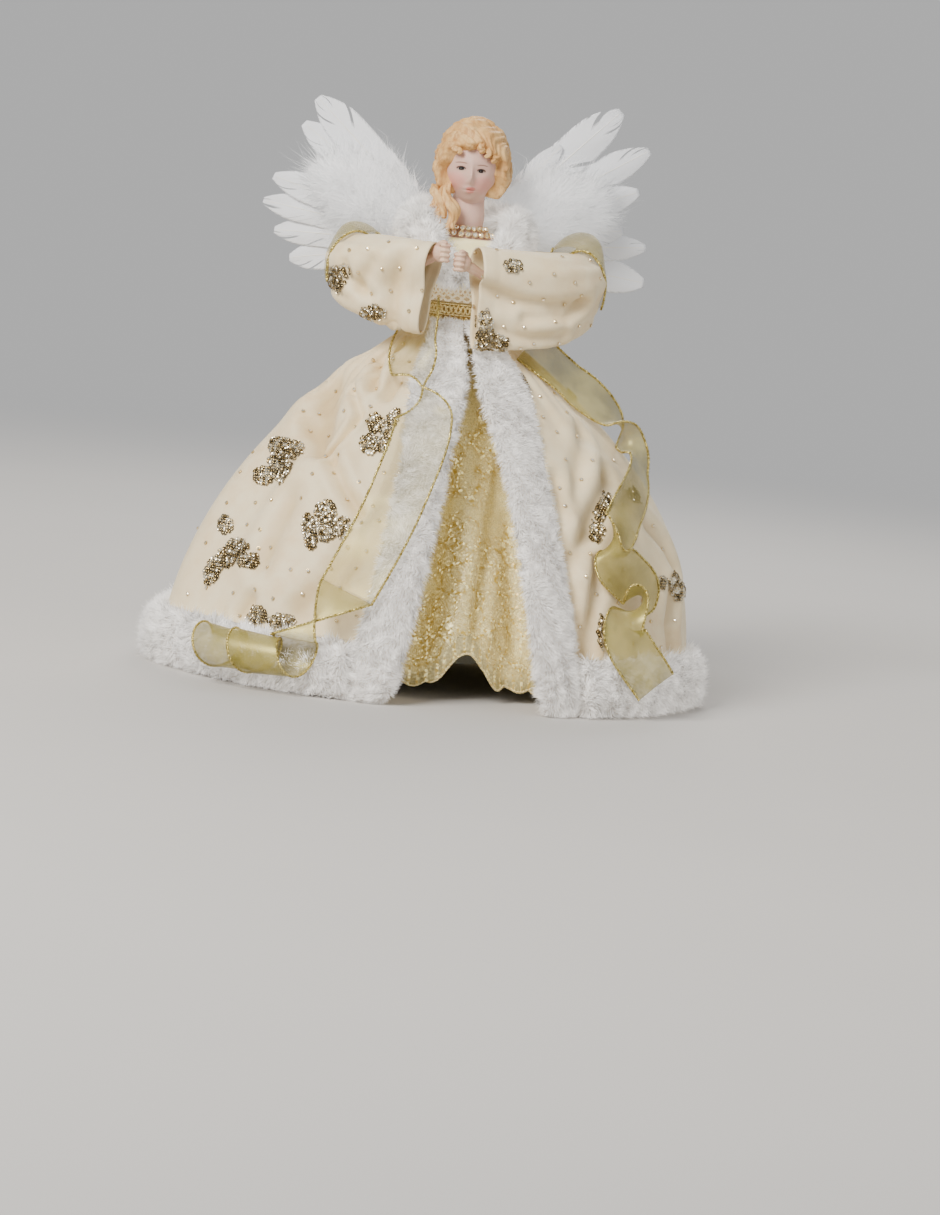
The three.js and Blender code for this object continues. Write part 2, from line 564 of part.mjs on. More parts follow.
// Arms: a wire core, a hand, a bell sleeve and the ribbon that lies over it
const SHOULDER_X = CHEST_RX + COAT_GROW + COAT_CLOTH / 2 + 2 * CLEARANCE;
const SLEEVE_START_X = figure(SHOULDER_TOP_Z, COAT_GROW + COAT_CLOTH / 2 + CLEARANCE).rx;
function arm(name, sign, reach, cuffX, cuffHeight, handX, handZ, forearm) {
  const group = new THREE.Group();
  group.name = `${name}_arm`;
  topper.add(group);
  const cuffZ = ARM_Z + 14 - cuffHeight / 2;
  const path = new THREE.CatmullRomCurve3([
    vec(sign * SLEEVE_START_X, 0, ARM_Z), vec(sign * (SHOULDER_X + 6), 0, ARM_Z),
    vec(sign * lerp(SHOULDER_X, reach, 0.6), 1, ARM_Z - 4),
    vec(sign * reach, -13, ARM_Z - 10), vec(sign * lerp(cuffX, reach, forearm.share), forearm.y, cuffZ + 3),
    vec(sign * cuffX, -55, cuffZ),
  ]);
  const tall = (t) => lerp(12.4, cuffHeight / 2, smoothstep(t, 0.12, 1));
  const deep = (t) => lerp(11.5, CUFF_DEPTH / 2, t) + 6 * Math.sin(Math.PI * t);
  const surface = (turn, t, lift = 0) => {
    const tangent = path.getTangent(t);
    const across = tangent.clone().cross(vec(0, 0, 1)).normalize();
    const up = across.clone().cross(tangent);
    const c = path.getPoint(t);
    const flat = forearm.flat * smoothstep(t, 0.5, 1) * smoothstep(-Math.sin(turn), -0.6, 0.2);
    return c.addScaledVector(across, (deep(t) * (1 - flat) + lift) * Math.cos(turn) * sign)
      .addScaledVector(up, (tall(t) + lift) * Math.sin(turn));
  };
  const bell = (u, v) => surface(TAU * u, v);
  add(`${name}_sleeve`, sheet(bell, 16, 8, SLEEVE_CLOTH, { closed: true }), satin, group);

  const palmMid = vec(handX, -58, handZ);
  const wrist = vec(sign * (cuffX + 6), -52, handZ - 8);
  const toPalm = palmMid.clone().sub(wrist).normalize();
  const wire = [
    vec(sign * (SHOULDER_X - 12), 0, ARM_Z), vec(sign * (SHOULDER_X + 4), 0, ARM_Z),
    vec(sign * (reach - 6), -10, ARM_Z - 6), wrist.clone().addScaledVector(toPalm, -10), wrist,
  ];
  add(`${name}_arm_wire`, rod(wire, ARM_WIRE_R, 8, 14), wirePaint, group);

  // The hand: a wrist, a palm, four curled fingers and a thumb
  const h = HAND_SIZE;
  const palm = new THREE.SphereGeometry(1, 9, 6);
  palm.scale(0.38 * h, 0.28 * h, 0.4 * h);
  palm.translate(palmMid.x, palmMid.y, palmMid.z);
  const wristEnd = wrist.clone().addScaledVector(toPalm, 1.5 * CLEARANCE);
  const lowerArm = rod([wristEnd, wristEnd.clone().lerp(palmMid, 0.5), palmMid], 0.22 * h, 8, 2);
  const fingers = range(4, (i) => {
    const base = palmMid.clone().add(vec(sign * -0.24 * h, -0.02 * h, (0.3 - 0.2 * i) * h));
    const from = (out, forward) => base.clone().add(vec(sign * out * h, -forward * h, 0));
    return rod([base, from(-0.12, 0.22), from(0.06, 0.36), from(0.26, 0.28)], (0.115 - 0.008 * i) * h, 4, 4);
  });
  const thumb = rod([
    palmMid.clone().add(vec(sign * 0.1 * h, -0.1 * h, 0.28 * h)),
    palmMid.clone().add(vec(0, -0.3 * h, 0.46 * h)),
    palmMid.clone().add(vec(sign * -0.2 * h, -0.4 * h, 0.4 * h)),
  ], 0.12 * h, 4, 3);
  add(`${name}_hand`, join(lowerArm, palm, ...fingers, thumb), skin, group);

  // The ribbon over the sleeve: a length of it that follows the sleeve's top
  const lift = (SLEEVE_CLOTH + RIBBON_CLOTH) / 2 + 2 * CLEARANCE;
  const loop = (u, v) => surface(lerp((3 * TAU) / 16, (9 * TAU) / 16, u), lerp(0.375, 0.625, v), lift);
  add(`${name}_ribbon_loop`, sheet(loop, 6, 2, RIBBON_CLOTH), organza, group);
}
arm("right", -1, SLEEVE_REACH, 27, CUFF_HEIGHT, -22.5, ARM_Z + 7, { share: 0.62, y: -36, flat: 0.16 });
arm("left", 1, SLEEVE_REACH + 4, 4, CUFF_HEIGHT + 6, -7, ARM_Z + 2, { share: 0.7, y: -40, flat: 0.6 });

// Ribbon behind the waist, hung from elbow to elbow
{
  const belt = figure(WAIST_Z + 2 * BRAID_HEIGHT, BELT_GROW + 2.5);
  const z = WAIST_Z + 17;
  const point = (u, v) => {
    const x = lerp(-52, 52, u);
    const away = smoothstep(Math.abs(x), 14, 44);
    const y = lerp(belt.ry + CLEARANCE + RIBBON_CLOTH / 2, 21.5, away);
    const half = lerp(0.32, 0.44, away) * RIBBON_WIDTH;
    return vec(x, y, z + 4 * away + half * (2 * v - 1));
  };
  add("ribbon_swag", sheet(point, 14, 3, RIBBON_CLOTH), organza);
}

// Ribbon streamers: each follows a path down the coat and turns over on the way
function streamer(points, turns, pinch) {
  const path = new THREE.CatmullRomCurve3(points);
  return (u, v) => {
    const c = path.getPoint(u);
    const tangent = path.getTangent(u);
    const out = vec(c.x, c.y, 0).normalize();
    out.addScaledVector(tangent, -out.dot(tangent)).normalize();
    const across = tangent.clone().cross(out);
    const turn = turns(u);
    const half = RIBBON_WIDTH * (1 - pinch * Math.abs(Math.sin(turn))) * (v - 0.5);
    return c.addScaledVector(across, half * Math.cos(turn)).addScaledVector(out, half * Math.sin(turn));
  };
}
// A point at a share of the waist's height, lifted off the coat
function onCoat(degrees, share, lift) {
  const angle = degToRad(degrees);
  const s = 1 - share;
  const step = 1e-3;
  const round = coatPoint(angle + step, s).sub(coatPoint(angle - step, s));
  const down = coatPoint(angle, s + step).sub(coatPoint(angle, s - step));
  return coatPoint(angle, s).addScaledVector(down.cross(round).normalize(), lift);
}
{
  const right = [
    onCoat(-50, 0.971, 13), onCoat(-33, 0.87, 13), onCoat(-20.5, 0.785, 13.6), onCoat(-15.5, 0.685, 14),
    onCoat(-18.5, 0.53, 14), onCoat(-21.5, 0.425, 13.5), onCoat(-27, 0.27, 13),
  ];
  const flip = (u, corner, soft) => Math.PI * smoothstep(u, corner - soft, corner + soft);
  const overOnce = (u) => flip(u, 0.33, 0.14);
  add("ribbon_streamer_right", sheet(streamer(right, overOnce, 0.8), 30, 2, RIBBON_CLOTH), organza);
  const left = [
    onCoat(65, 0.922, 9), onCoat(73, 0.835, 9.5), onCoat(78, 0.725, 12), onCoat(72, 0.62, 12),
    onCoat(51, 0.5, 12), onCoat(43, 0.415, 12), onCoat(51, 0.315, 12), onCoat(43, 0.23, 16),
    onCoat(50, 0.09, 24),
  ];
  const corners = [0.3, 0.6, 0.8];
  const overThrice = (u) => corners.reduce((turn, corner) => turn + flip(u, corner, 0.07), -0.35);
  add("ribbon_streamer_left", sheet(streamer(left, overThrice, 0.5), 48, 2, RIBBON_CLOTH), organza);
}

// Ribbon curl: the right streamer's end, wound like a corkscrew along the hem
{
  const CURL_R = 12.5;
  const turns = 2.2;
  const path = new THREE.CatmullRomCurve3(range(5, (i) => {
    const angle = lerp(degToRad(-29), degToRad(-58), i / 4);
    const s = toS(0.4 * HEM_FUR_HEIGHT);
    return coatPoint(angle, s, HEM_FUR_DEPTH / 2 + CURL_R - CLEARANCE / 2).setZ(25);
  }));
  const point = (u, v) => {
    const along = clamp(u * 0.62 + (v - 0.5) * 0.36 + 0.19, 0, 1);
    const c = path.getPoint(along);
    const out = vec(c.x, c.y, 0).normalize();
    const turn = TAU * turns * u + 0.5 * Math.PI;
    const r = CURL_R * (1 + 0.16 * (v - 0.5));
    return c.addScaledVector(out, r * Math.cos(turn)).add(vec(0, 0, r * Math.sin(turn)));
  };
  add("ribbon_curl_right", sheet(point, 30, 2, RIBBON_CLOTH), organza);
}

// Wings: a patch on the coat's back, and on each side a pad, a stay wire, seven feathers and down
const BACK_Y = figure(CHEST_Z, COAT_GROW + COAT_CLOTH / 2 + CLEARANCE).ry;
const PAD_Y = BACK_Y + PAD_THICKNESS + CLEARANCE;
{
  const patch = new THREE.BoxGeometry(26, PAD_THICKNESS, 22);
  patch.translate(0, BACK_Y + PAD_THICKNESS / 2, WING_Z);
  add("wing_patch", patch, satin);
}
const bow = (along) => 0.00045 * along * along;
function feather(sign, length, width, degrees, y, start) {
  const quillR = (t) => lerp(FEATHER_QUILL, 0.35, t);
  const direction = degToRad(degrees);
  return loft(range(10, (k) => {
    const t = k / 9;
    const along = start + (length - start) * t;
    const vane = smoothstep(t, 0.16, 0.36) * Math.sqrt(Math.max(1 - smoothstep(t, 0.72, 1.04) ** 2, 0));
    const half = Math.max((width / 2) * vane, quillR(t));
    const q = quillR(t);
    const edge = 0.3;
    const droop = -6 * t * t;
    const spot = (across, deep) => vec(
      sign * (along * Math.cos(direction) - (across + droop) * Math.sin(direction)),
      y + bow(along) + deep,
      along * Math.sin(direction) + (across + droop) * Math.cos(direction),
    );
    return [
      spot(half, -edge), spot(half, edge), spot(0, q),
      spot(-half, edge), spot(-half, -edge), spot(0, -q),
    ];
  }));
}
function wing(name, sign, degrees, lengths, widths) {
  const group = new THREE.Group();
  group.name = `${name}_wing`;
  const pivotX = sign * 6;
  group.position.set(pivotX, PAD_Y, WING_Z);
  group.rotation.z = sign * degToRad(WING_SWEEP_DEG);
  topper.add(group);

  const pad = new THREE.CylinderGeometry(11, 11, PAD_THICKNESS, 20);
  pad.scale(1.5, 1, 1);
  pad.translate(sign * 17.5, PAD_THICKNESS / 2, 0);
  add(`${name}_wing_pad`, pad, satin, group);

  const wireR = 0.9;
  const wireY = PAD_THICKNESS + CLEARANCE + wireR;
  const slope = degToRad(degrees[0]);
  const spot = (out) => vec(sign * out * Math.cos(slope), wireY + bow(out), out * Math.sin(slope));
  const stay = [spot(4), spot(18), spot(34)];
  add(`${name}_wing_wire`, rod(stay, wireR, 8, 6), wirePaint, group);

  const firstY = wireY + wireR + CLEARANCE + FEATHER_QUILL;
  const pitch = 2 * FEATHER_QUILL + CLEARANCE / 2;
  degrees.forEach((rise, i) => {
    const length = FEATHER_LENGTH * lengths[i];
    const width = FEATHER_WIDTH * widths[i];
    const shape = feather(sign, length, width, rise, firstY + pitch * i, 4 + 1.2 * i);
    add(`${name}_feather_${i + 1}`, shape, plume, group);
  });

  // Down: a soft mound in front of the feathers, flat behind
  const downY = firstY - FEATHER_QUILL - CLEARANCE;
  add(`${name}_wing_down`, loft(range(9, (k) => {
    const t = k / 8;
    const out = lerp(27, 92, t);
    const middle = lerp(20, 40, t);
    const tall = 30 * Math.sqrt(Math.max(1 - (2 * t - 1) ** 2, 0.03));
    const deep = 15 * Math.sqrt(Math.max(1 - (2 * t - 1) ** 2, 0.03));
    return ring(12, (turn) => {
      const z = middle + tall * Math.cos(turn);
      return vec(sign * out, downY + bow(Math.hypot(out, z)) - deep * Math.max(Math.sin(turn), 0), z);
    });
  })), plume, group);
}
// For each feather from the top: its slope in degrees, and its length and width as shares of the largest.
const rightSlopes = [46, 38, 28, 20, 12, 4, -5];
const rightLengths = [0.99, 0.95, 0.8, 0.94, 0.95, 0.87, 0.79];
const rightWidths = [1, 0.86, 0.76, 0.8, 0.74, 0.74, 0.8];
wing("right", -1, rightSlopes, rightLengths, rightWidths);
const leftSlopes = [56, 48.5, 35.5, 26.5, 16, 9.5, -1];
const leftLengths = [0.72, 1.07, 1.09, 0.96, 0.84, 0.96, 0.97];
const leftWidths = [0.6, 1.05, 0.86, 0.8, 0.8, 0.74, 0.9];
wing("left", 1, leftSlopes, leftLengths, leftWidths);

export default topper;
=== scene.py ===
# %% [markdown]
# # An angel tree topper, dressed in Blender
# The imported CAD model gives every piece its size, its place and its motion. This lesson gives
# the pieces their surfaces: satin, fur, lace, feathers, sequins and a painted face.
# Everything is in metres. +Z is up, the figure faces -Y and its right hand is on -X.

# %% Load the frame
import math

import bpy
import numpy as np
from mathutils import Matrix, Vector


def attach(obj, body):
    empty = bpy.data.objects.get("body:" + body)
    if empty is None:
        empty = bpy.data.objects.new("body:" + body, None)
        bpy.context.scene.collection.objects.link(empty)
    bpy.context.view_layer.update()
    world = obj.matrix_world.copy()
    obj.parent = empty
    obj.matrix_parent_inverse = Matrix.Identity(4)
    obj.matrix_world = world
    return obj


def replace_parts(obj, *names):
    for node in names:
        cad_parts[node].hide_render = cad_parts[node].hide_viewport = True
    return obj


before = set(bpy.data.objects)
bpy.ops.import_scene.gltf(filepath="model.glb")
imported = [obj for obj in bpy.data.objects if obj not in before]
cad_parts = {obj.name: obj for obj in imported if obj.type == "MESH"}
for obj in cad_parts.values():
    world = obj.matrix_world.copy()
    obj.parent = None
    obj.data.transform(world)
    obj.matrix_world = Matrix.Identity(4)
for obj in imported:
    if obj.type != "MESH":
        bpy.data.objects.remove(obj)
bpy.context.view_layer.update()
MM = 0.001
TAU = 2 * math.pi

# %% [markdown]
# ## Camera
# A long lens from a little to the figure's right and a little above. The figure leans in the picture, so
# the camera is rolled. The same numbers turn a pixel of the picture into a ray, which later
# helps to sew sequins and press creases where they belong on the cloth.

# %% Camera
AZIMUTH, ELEVATION, LEAN = (math.radians(a) for a in (-8, 6.5, 6))
PICTURE = (940, 1215)
PIXEL = 0.68 * MM
FOOT_PIXEL = (419, 677)
DISTANCE = 2.4

back = Vector((math.sin(AZIMUTH) * math.cos(ELEVATION),
               -math.cos(AZIMUTH) * math.cos(ELEVATION), math.sin(ELEVATION)))
level = Vector((0, 0, 1)).cross(back).normalized()
upright = back.cross(level)
right = level * math.cos(LEAN) + upright * math.sin(LEAN)
up = upright * math.cos(LEAN) - level * math.sin(LEAN)


def picture_point(x, y):
    """The point behind a pixel, on the plane through the figure's foot."""
    return right * ((x - FOOT_PIXEL[0]) * PIXEL) + up * ((FOOT_PIXEL[1] - y) * PIXEL)


target = picture_point(PICTURE[0] / 2, PICTURE[1] / 2)
eye = target + back * DISTANCE
bpy.ops.object.camera_add()
camera = bpy.context.object
camera.data.sensor_fit = "VERTICAL"
camera.data.sensor_height = 24
camera.data.lens = 24 * DISTANCE / (PICTURE[1] * PIXEL)
turn = Matrix((right, up, back)).transposed()
camera.matrix_world = Matrix.Translation(eye) @ turn.to_4x4()
bpy.context.scene.camera = camera
print("lens", round(camera.data.lens, 1), "mm")

# %% [markdown]
# ## Floor and light
# A pale floor and three soft lamps: a large one from the front left, a weaker one from the right
# and one from behind that draws a thin bright line along the fur and the feathers.

# %% Floor and light
def srgb(r, g, b):
    """A colour given as 0-255 on a screen, in the linear numbers that shaders use."""
    def line(c):
        c /= 255
        return c / 12.92 if c <= 0.04045 else ((c + 0.055) / 1.055) ** 2.4
    return (line(r), line(g), line(b), 1)


def lamp(name, place, size, power, tint):
    bpy.ops.object.light_add(type="AREA", location=place)
    made = bpy.context.object
    made.name = name
    made.data.size = size
    made.data.energy = power
    made.data.color = tint
    made.rotation_euler = (Vector((0, 0, 0.2)) - Vector(place)).to_track_quat("-Z", "Y").to_euler()


lamp("key_light", (-1.5, -1.8, 1.8), 1.1, 118, (1, 0.97, 0.93))
lamp("fill_light", (1.9, -1.5, 0.9), 1.6, 9, (0.95, 0.97, 1))
lamp("rim_light", (0.5, 1.7, 1.6), 1.2, 32, (1, 0.98, 0.95))
WALL = 0.52
world = bpy.context.scene.world or bpy.data.worlds.new("studio")
bpy.context.scene.world = world
world.use_nodes = True
world.node_tree.nodes["Background"].inputs["Color"].default_value = (1, 1, 1, 1)
world.node_tree.nodes["Background"].inputs["Strength"].default_value = WALL

bpy.ops.object.select_all(action="DESELECT")
bpy.ops.mesh.primitive_circle_add(vertices=128, radius=9, fill_type="NGON")
floor = bpy.context.object
floor.name = "floor"

# %% [markdown]
# ## Shader maths as Python
# A material is a net of nodes. Written out one by one they hide what they compute, so this class
# wraps a socket: arithmetic on it adds Math nodes, and `node` adds any other kind of node.

# %% Wire
class Wire:
    """A socket of a node tree, on which arithmetic adds nodes."""

    def __init__(self, tree, socket=None):
        self.tree = tree
        self.socket = socket

    def node(self, kind, settings=None, inputs=None, output=0):
        made = self.tree.nodes.new("ShaderNode" + kind)
        for name, value in (settings or {}).items():
            setattr(made, name, value)
        for name, value in (inputs or {}).items():
            if isinstance(value, Wire):
                self.tree.links.new(value.socket, made.inputs[name])
            else:
                made.inputs[name].default_value = value
        return Wire(self.tree, made.outputs[output])

    def math(self, operation, *values):
        return self.node("Math", {"operation": operation}, dict(enumerate(values)))

    def vector(self, operation, *values, output=0):
        return self.node("VectorMath", {"operation": operation}, dict(enumerate(values)), output)

    def __add__(self, other):
        return self.math("ADD", self, other)

    def __sub__(self, other):
        return self.math("SUBTRACT", self, other)

    def __rsub__(self, other):
        return self.math("SUBTRACT", other, self)

    def __mul__(self, other):
        return self.math("MULTIPLY", self, other)

    def __truediv__(self, other):
        return self.math("DIVIDE", self, other)

    __radd__ = __add__

    def place(self):
        """The piece's own coordinates, in metres."""
        return self.node("TexCoord", output="Object")

    def uv(self):
        return self.node("UVMap")

    def sine(self):
        return self.math("SINE", self)

    def size(self):
        return self.math("ABSOLUTE", self)

    def step(self, low, high):
        """0 below low, 1 above high, smooth between; falls instead where low is above high."""
        inputs = {"Value": self, "From Min": low, "From Max": high}
        return self.node("MapRange", {"interpolation_type": "SMOOTHSTEP"}, inputs)

    def mix(self, a, b):
        """From colour a, where this is 0, to colour b, where it is 1."""
        return self.node("Mix", {"data_type": "RGBA"}, {0: self, 6: a, 7: b}, 2)

    def axis(self, index):
        return self.node("SeparateXYZ", inputs={0: self}, output=index)

    def noise(self, scale, detail=2.0, rough=0.5):
        inputs = {"Vector": self, "Scale": scale, "Detail": detail, "Roughness": rough}
        return self.node("TexNoise", inputs=inputs)

    def cells(self, scale, output="Distance", feature="F1"):
        return self.node("TexVoronoi", {"feature": feature}, {"Vector": self, "Scale": scale}, output)

    def stretch(self, *scale):
        return self.node("Mapping", inputs={"Vector": self, "Scale": scale})

    def bump(self, strength, depth):
        return self.node("Bump", inputs={"Strength": strength, "Distance": depth, "Height": self})


def finish(make):
    """A material named after the function make, which says what each shader socket gets."""
    material = bpy.data.materials.new(make.__name__)
    material.use_nodes = True
    tree = material.node_tree
    shader = tree.nodes["Principled BSDF"]
    for socket, value in make(Wire(tree)).items():
        if isinstance(value, Wire):
            tree.links.new(value.socket, shader.inputs[socket])
        else:
            shader.inputs[socket].default_value = value
    return material


# %% Floor finish
# Far from the figure the floor takes the colour of the studio's wall, so no horizon shows.


@finish
def pale_floor(w):
    place = w.place()
    far = place.vector("LENGTH", place, output=1).step(0.5, 2.6)
    grain = place.noise(3, 4).mix(srgb(192, 189, 185), srgb(198, 195, 191))
    return {
        "Base Color": far.mix(grain, (0, 0, 0, 1)),
        "Emission Color": far.mix((0, 0, 0, 1), (WALL, WALL, WALL, 1)),
        "Emission Strength": 1.0,
        "Roughness": 0.75,
        "Specular IOR Level": 0.0,
    }


floor.data.materials.append(pale_floor)
print("floor finish:", pale_floor.name)

# %% [markdown]
# ## Modelling helpers
# Cloth starts flat, so each cloth piece here starts as a grid primitive. A formula then says where
# each point of the grid hangs, as a hand would lift it with proportional editing. The grid's own
# UV map is scaled to the size of the flat cut, so the weave has one scale on every piece.

# %% Mesh helpers
def lerp(a, b, t):
    return a + (b - a) * t


def smoothstep(x, low, high):
    t = np.clip((x - low) / (high - low), 0, 1)
    return t * t * (3 - 2 * t)


def points_of(piece):
    flat = np.empty(len(piece.data.vertices) * 3, np.float32)
    piece.data.vertices.foreach_get("co", flat)
    return flat.reshape(-1, 3).astype(float)


def normals_of(piece):
    return np.array([vertex.normal for vertex in piece.data.vertices])


def set_points(piece, points):
    piece.data.vertices.foreach_set("co", np.asarray(points, np.float32).ravel())
    piece.data.update()


def deselect():
    if bpy.context.object and bpy.context.object.mode != "OBJECT":
        bpy.ops.object.mode_set(mode="OBJECT")
    bpy.ops.object.select_all(action="DESELECT")


def only(piece):
    deselect()
    piece.select_set(True)
    bpy.context.view_layer.objects.active = piece


def edit(piece, *steps):
    """Runs edit-mode operators on the whole mesh: each step is an operator and its settings."""
    only(piece)
    bpy.ops.object.mode_set(mode="EDIT")
    bpy.ops.mesh.select_all(action="SELECT")
    for operator, settings in steps:
        operator(**settings)
    bpy.ops.object.mode_set(mode="OBJECT")


def apply(piece, kind, **settings):
    only(piece)
    modifier = piece.modifiers.new(kind.lower(), kind)
    for name, value in settings.items():
        setattr(modifier, name, value)
    bpy.ops.object.modifier_apply(modifier=modifier.name)


def smooth(piece):
    only(piece)
    bpy.ops.object.shade_smooth()


print("mesh helpers ready")

# %% Grids and cloth
MERGE = (bpy.ops.mesh.remove_doubles, {"threshold": 0.02 * MM})
OUTWARD = (bpy.ops.mesh.normals_make_consistent, {"inside": False})
CLOSE = (MERGE, (bpy.ops.mesh.fill_holes, {"sides": 0}), OUTWARD)


def grid(name, across, along, place):
    """A grid primitive whose points go where place(u, v) says, for u and v from 0 to 1."""
    deselect()
    bpy.ops.mesh.primitive_grid_add(x_subdivisions=across, y_subdivisions=along, size=1)
    piece = bpy.context.object
    piece.name = name
    flat = points_of(piece)
    set_points(piece, place(flat[:, 0] + 0.5, flat[:, 1] + 0.5))
    return piece


def cut_size(piece, across, along):
    """The longest row and column of a shaped grid, and its area: the size it was cut to."""
    p = points_of(piece).reshape(along + 1, across + 1, 3)
    width = np.linalg.norm(np.diff(p, axis=1), axis=2).sum(1).max()
    length = np.linalg.norm(np.diff(p, axis=0), axis=2).sum(0).max()
    area = sum(face.area for face in piece.data.polygons)
    return float(width), float(length), float(area)


def scale_uv(piece, scale, shift=(0, 0)):
    layer = piece.data.uv_layers.active.data
    uv = np.empty(len(layer) * 2, np.float32)
    layer.foreach_get("uv", uv)
    layer.foreach_set("uv", (uv.reshape(-1, 2) * scale + shift).astype(np.float32).ravel())


def stand_in(piece, body, node):
    """Lets a piece ride on a body in the place of a CAD node."""
    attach(piece, body)
    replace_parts(piece, node)


def cloth(name, across, along, place, thick, material, shape=None, closed=False):
    """A sheet of cloth: a grid, hung by a formula, given its thickness and its finish."""
    piece = grid(name, across, along, place)
    width, length, area = cut_size(piece, across, along)
    scale_uv(piece, (width, length))
    if closed:
        edit(piece, MERGE)
    if shape:
        shape(piece)
    apply(piece, "SOLIDIFY", thickness=thick, offset=0)
    piece.data.materials.append(material)
    smooth(piece)
    print(f"{name}: cut {width * 1000:.0f} x {length * 1000:.0f} mm, {area * 1e4:.0f} square cm")
    return piece


def around(angle, rx, ry, z):
    """A point on an oval round the figure: angle 0 is the front, and it grows towards +X."""
    angle, rx, ry, z = np.broadcast_arrays(angle, rx, ry, z)
    return np.stack([rx * np.sin(angle), -ry * np.cos(angle), z], -1)


print("cloth helpers ready")

# %% [markdown]
# ## Champagne satin
# The coat is a soft cream satin with a low sheen. Up close it has a fine weave and a slight unevenness
# of colour. The weave reads the UV map in metres, and the unevenness reads the piece's own place.

# %% Champagne satin
def weave(w, pitch):
    """The height of a plain weave of that pitch, on a UV map in metres."""
    uv = w.uv()
    turns = TAU / pitch
    return (uv.axis(0) * turns).sine() * (uv.axis(1) * turns).sine()


@finish
def champagne_satin(w):
    place = w.place()
    blush = place.noise(9, 3).step(0.35, 0.7)
    cream = blush.mix(srgb(237, 217, 174), srgb(230, 204, 158))
    # The crease attribute paints the satin a darker tan where the cloth sank: painted shade in the creases.
    crease_shade = w.node("Attribute", {"attribute_name": "crease_shade"}, output="Fac")
    rumple = place.noise(80, 4, 0.6)
    height = rumple * 0.8 + weave(w, 0.9 * MM) * 0.12
    return {
        "Base Color": (crease_shade * 0.75).mix(
            rumple.step(0.2, 0.8).mix(cream, srgb(242, 226, 188)), srgb(200, 172, 122)),
        "Roughness": 0.42 + rumple * 0.16,
        "Sheen Weight": 0.25,
        "Sheen Roughness": 0.4,
        "Specular IOR Level": 0.4,
        "Normal": (height + place.noise(22, 3) * 1.6).bump(0.4, 0.8 * MM),
    }


print("satin:", champagne_satin.name)

# %% [markdown]
# ## The coat's skirt
# On the real doll this is a wide bell of satin, gathered at the waist and open at the front, sewn
# from a right, a left and a back panel. A cloth simulation would move it away from the CAD model, so the bell
# is a formula with the CAD's own sizes, and the creases are pressed in afterwards.

# %% Coat bell
WAIST_Z, WAIST_RX, WAIST_RY = 0.245, 0.018, 0.015
HEM_RX, HEM_FRONT, HEM_BACK = 0.177, 0.147, 0.148
BELL_RIGHT, BELL_LEFT = 2.0, 2.4
COAT_GROW = 4.05 * MM
FOLDS, FOLD_DEPTH = 9, 6 * MM


def coat_radius(angle, s):
    """The coat's distance from the middle; s is 0 at the waist and 1 at the foot."""
    bell = lerp(BELL_RIGHT, BELL_LEFT, (1 + np.sin(angle)) / 2)
    rise = 1 - (1 - s) ** bell
    rear = (1 - np.cos(angle)) / 2
    width = lerp(WAIST_RX + COAT_GROW, HEM_RX, rise)
    depth = lerp(WAIST_RY + COAT_GROW, lerp(HEM_FRONT, HEM_BACK, rear), rise)
    oval = 1 / np.hypot(np.sin(angle) / width, np.cos(angle) / depth)
    side = smoothstep(rear, 0.12, 0.5)
    return oval + FOLD_DEPTH * s * (1.2 - s) * 3 * side * np.cos(FOLDS * angle)


def coat_point(angle, s, lift=0.0):
    r = coat_radius(angle, s) + lift
    return around(angle, r, r, WAIST_Z * (1 - s))


def edge_right(s):
    return -np.arcsin((0.4 * WAIST_RX + 0.043 * s) / coat_radius(0.0, s))


def edge_left(s):
    return np.arcsin((0.4 * WAIST_RX + 0.066 * s ** 0.7) / coat_radius(0.0, s))


def fur_half(s):
    return lerp(0.34 * WAIST_RX, 0.015, smoothstep(s, 0, 0.2)) + 3 * MM * s


# How far down the satin starts and ends, and where the middle of the fur roll lies
S_TOP, S_HEM = 0.0017, 0.8475
S_ROLL = (WAIST_Z - 0.0152) / WAIST_Z
SEAM = math.radians(104)


def soft_folds(angle, s):
    """Small folds that the big ones carry: gathers at the waist and slow waves below."""
    gathers = 0.8 * MM * np.sin(46 * angle + 2 * np.sin(5 * angle)) * (1 - smoothstep(s, 0.05, 0.4))
    waves = np.sin(13 * angle + 5 * s + 1.3 * np.sin(7 * angle)) * np.sin(3.1 * s) ** 2
    drape = np.abs(np.sin(8 * angle - 1.5 * s + 0.8 * np.sin(3 * angle))) ** 1.6 * np.sin(2.6 * s) ** 1.5
    return gathers * smoothstep(s, 0, 0.04) + 1.4 * MM * waves + 2.4 * MM * (drape - 0.5)


def panel(start, end):
    def place(u, v):
        s = lerp(S_HEM, S_TOP, v)
        angle = lerp(start(s), end(s), u)
        return coat_point(angle, s, soft_folds(angle, s))
    return place


print("coat radius at the hem:", round(float(coat_radius(0.0, 1.0)), 3))

# %% [markdown]
# ## Creases
# Each crease is a line on the cloth with a width and a depth. Its corners are pixels of the picture, sent
# as rays onto the smooth cloth. The points of the cloth near that line then sink along
# their normals, with a small rise on both sides, as in pressed satin. The depth is also kept as an attribute,
# and the satin is painted a darker tan there: painted shade in the hollow of each crease.

# %% Creases
TO_CAMERA = np.array(back)
# The crease depth at which the painted crease shade reaches its full strength
CREASE_SHADE_FULL = 7 * MM


def ray_hit(piece, x, y):
    """Where the ray through a pixel meets a piece: the point and the normal there, or None."""
    hit, point, normal, _ = piece.ray_cast(eye, (picture_point(x, y) - eye).normalized())
    return (np.array(point), np.array(normal)) if hit else None


def distance_to_line(points, line):
    best = np.full(len(points), np.inf)
    for a, b in zip(line, line[1:]):
        along = np.clip((points - a) @ (b - a) / max((b - a) @ (b - a), 1e-12), 0, 1)
        best = np.minimum(best, np.linalg.norm(points - a - along[:, None] * (b - a), axis=1))
    return best


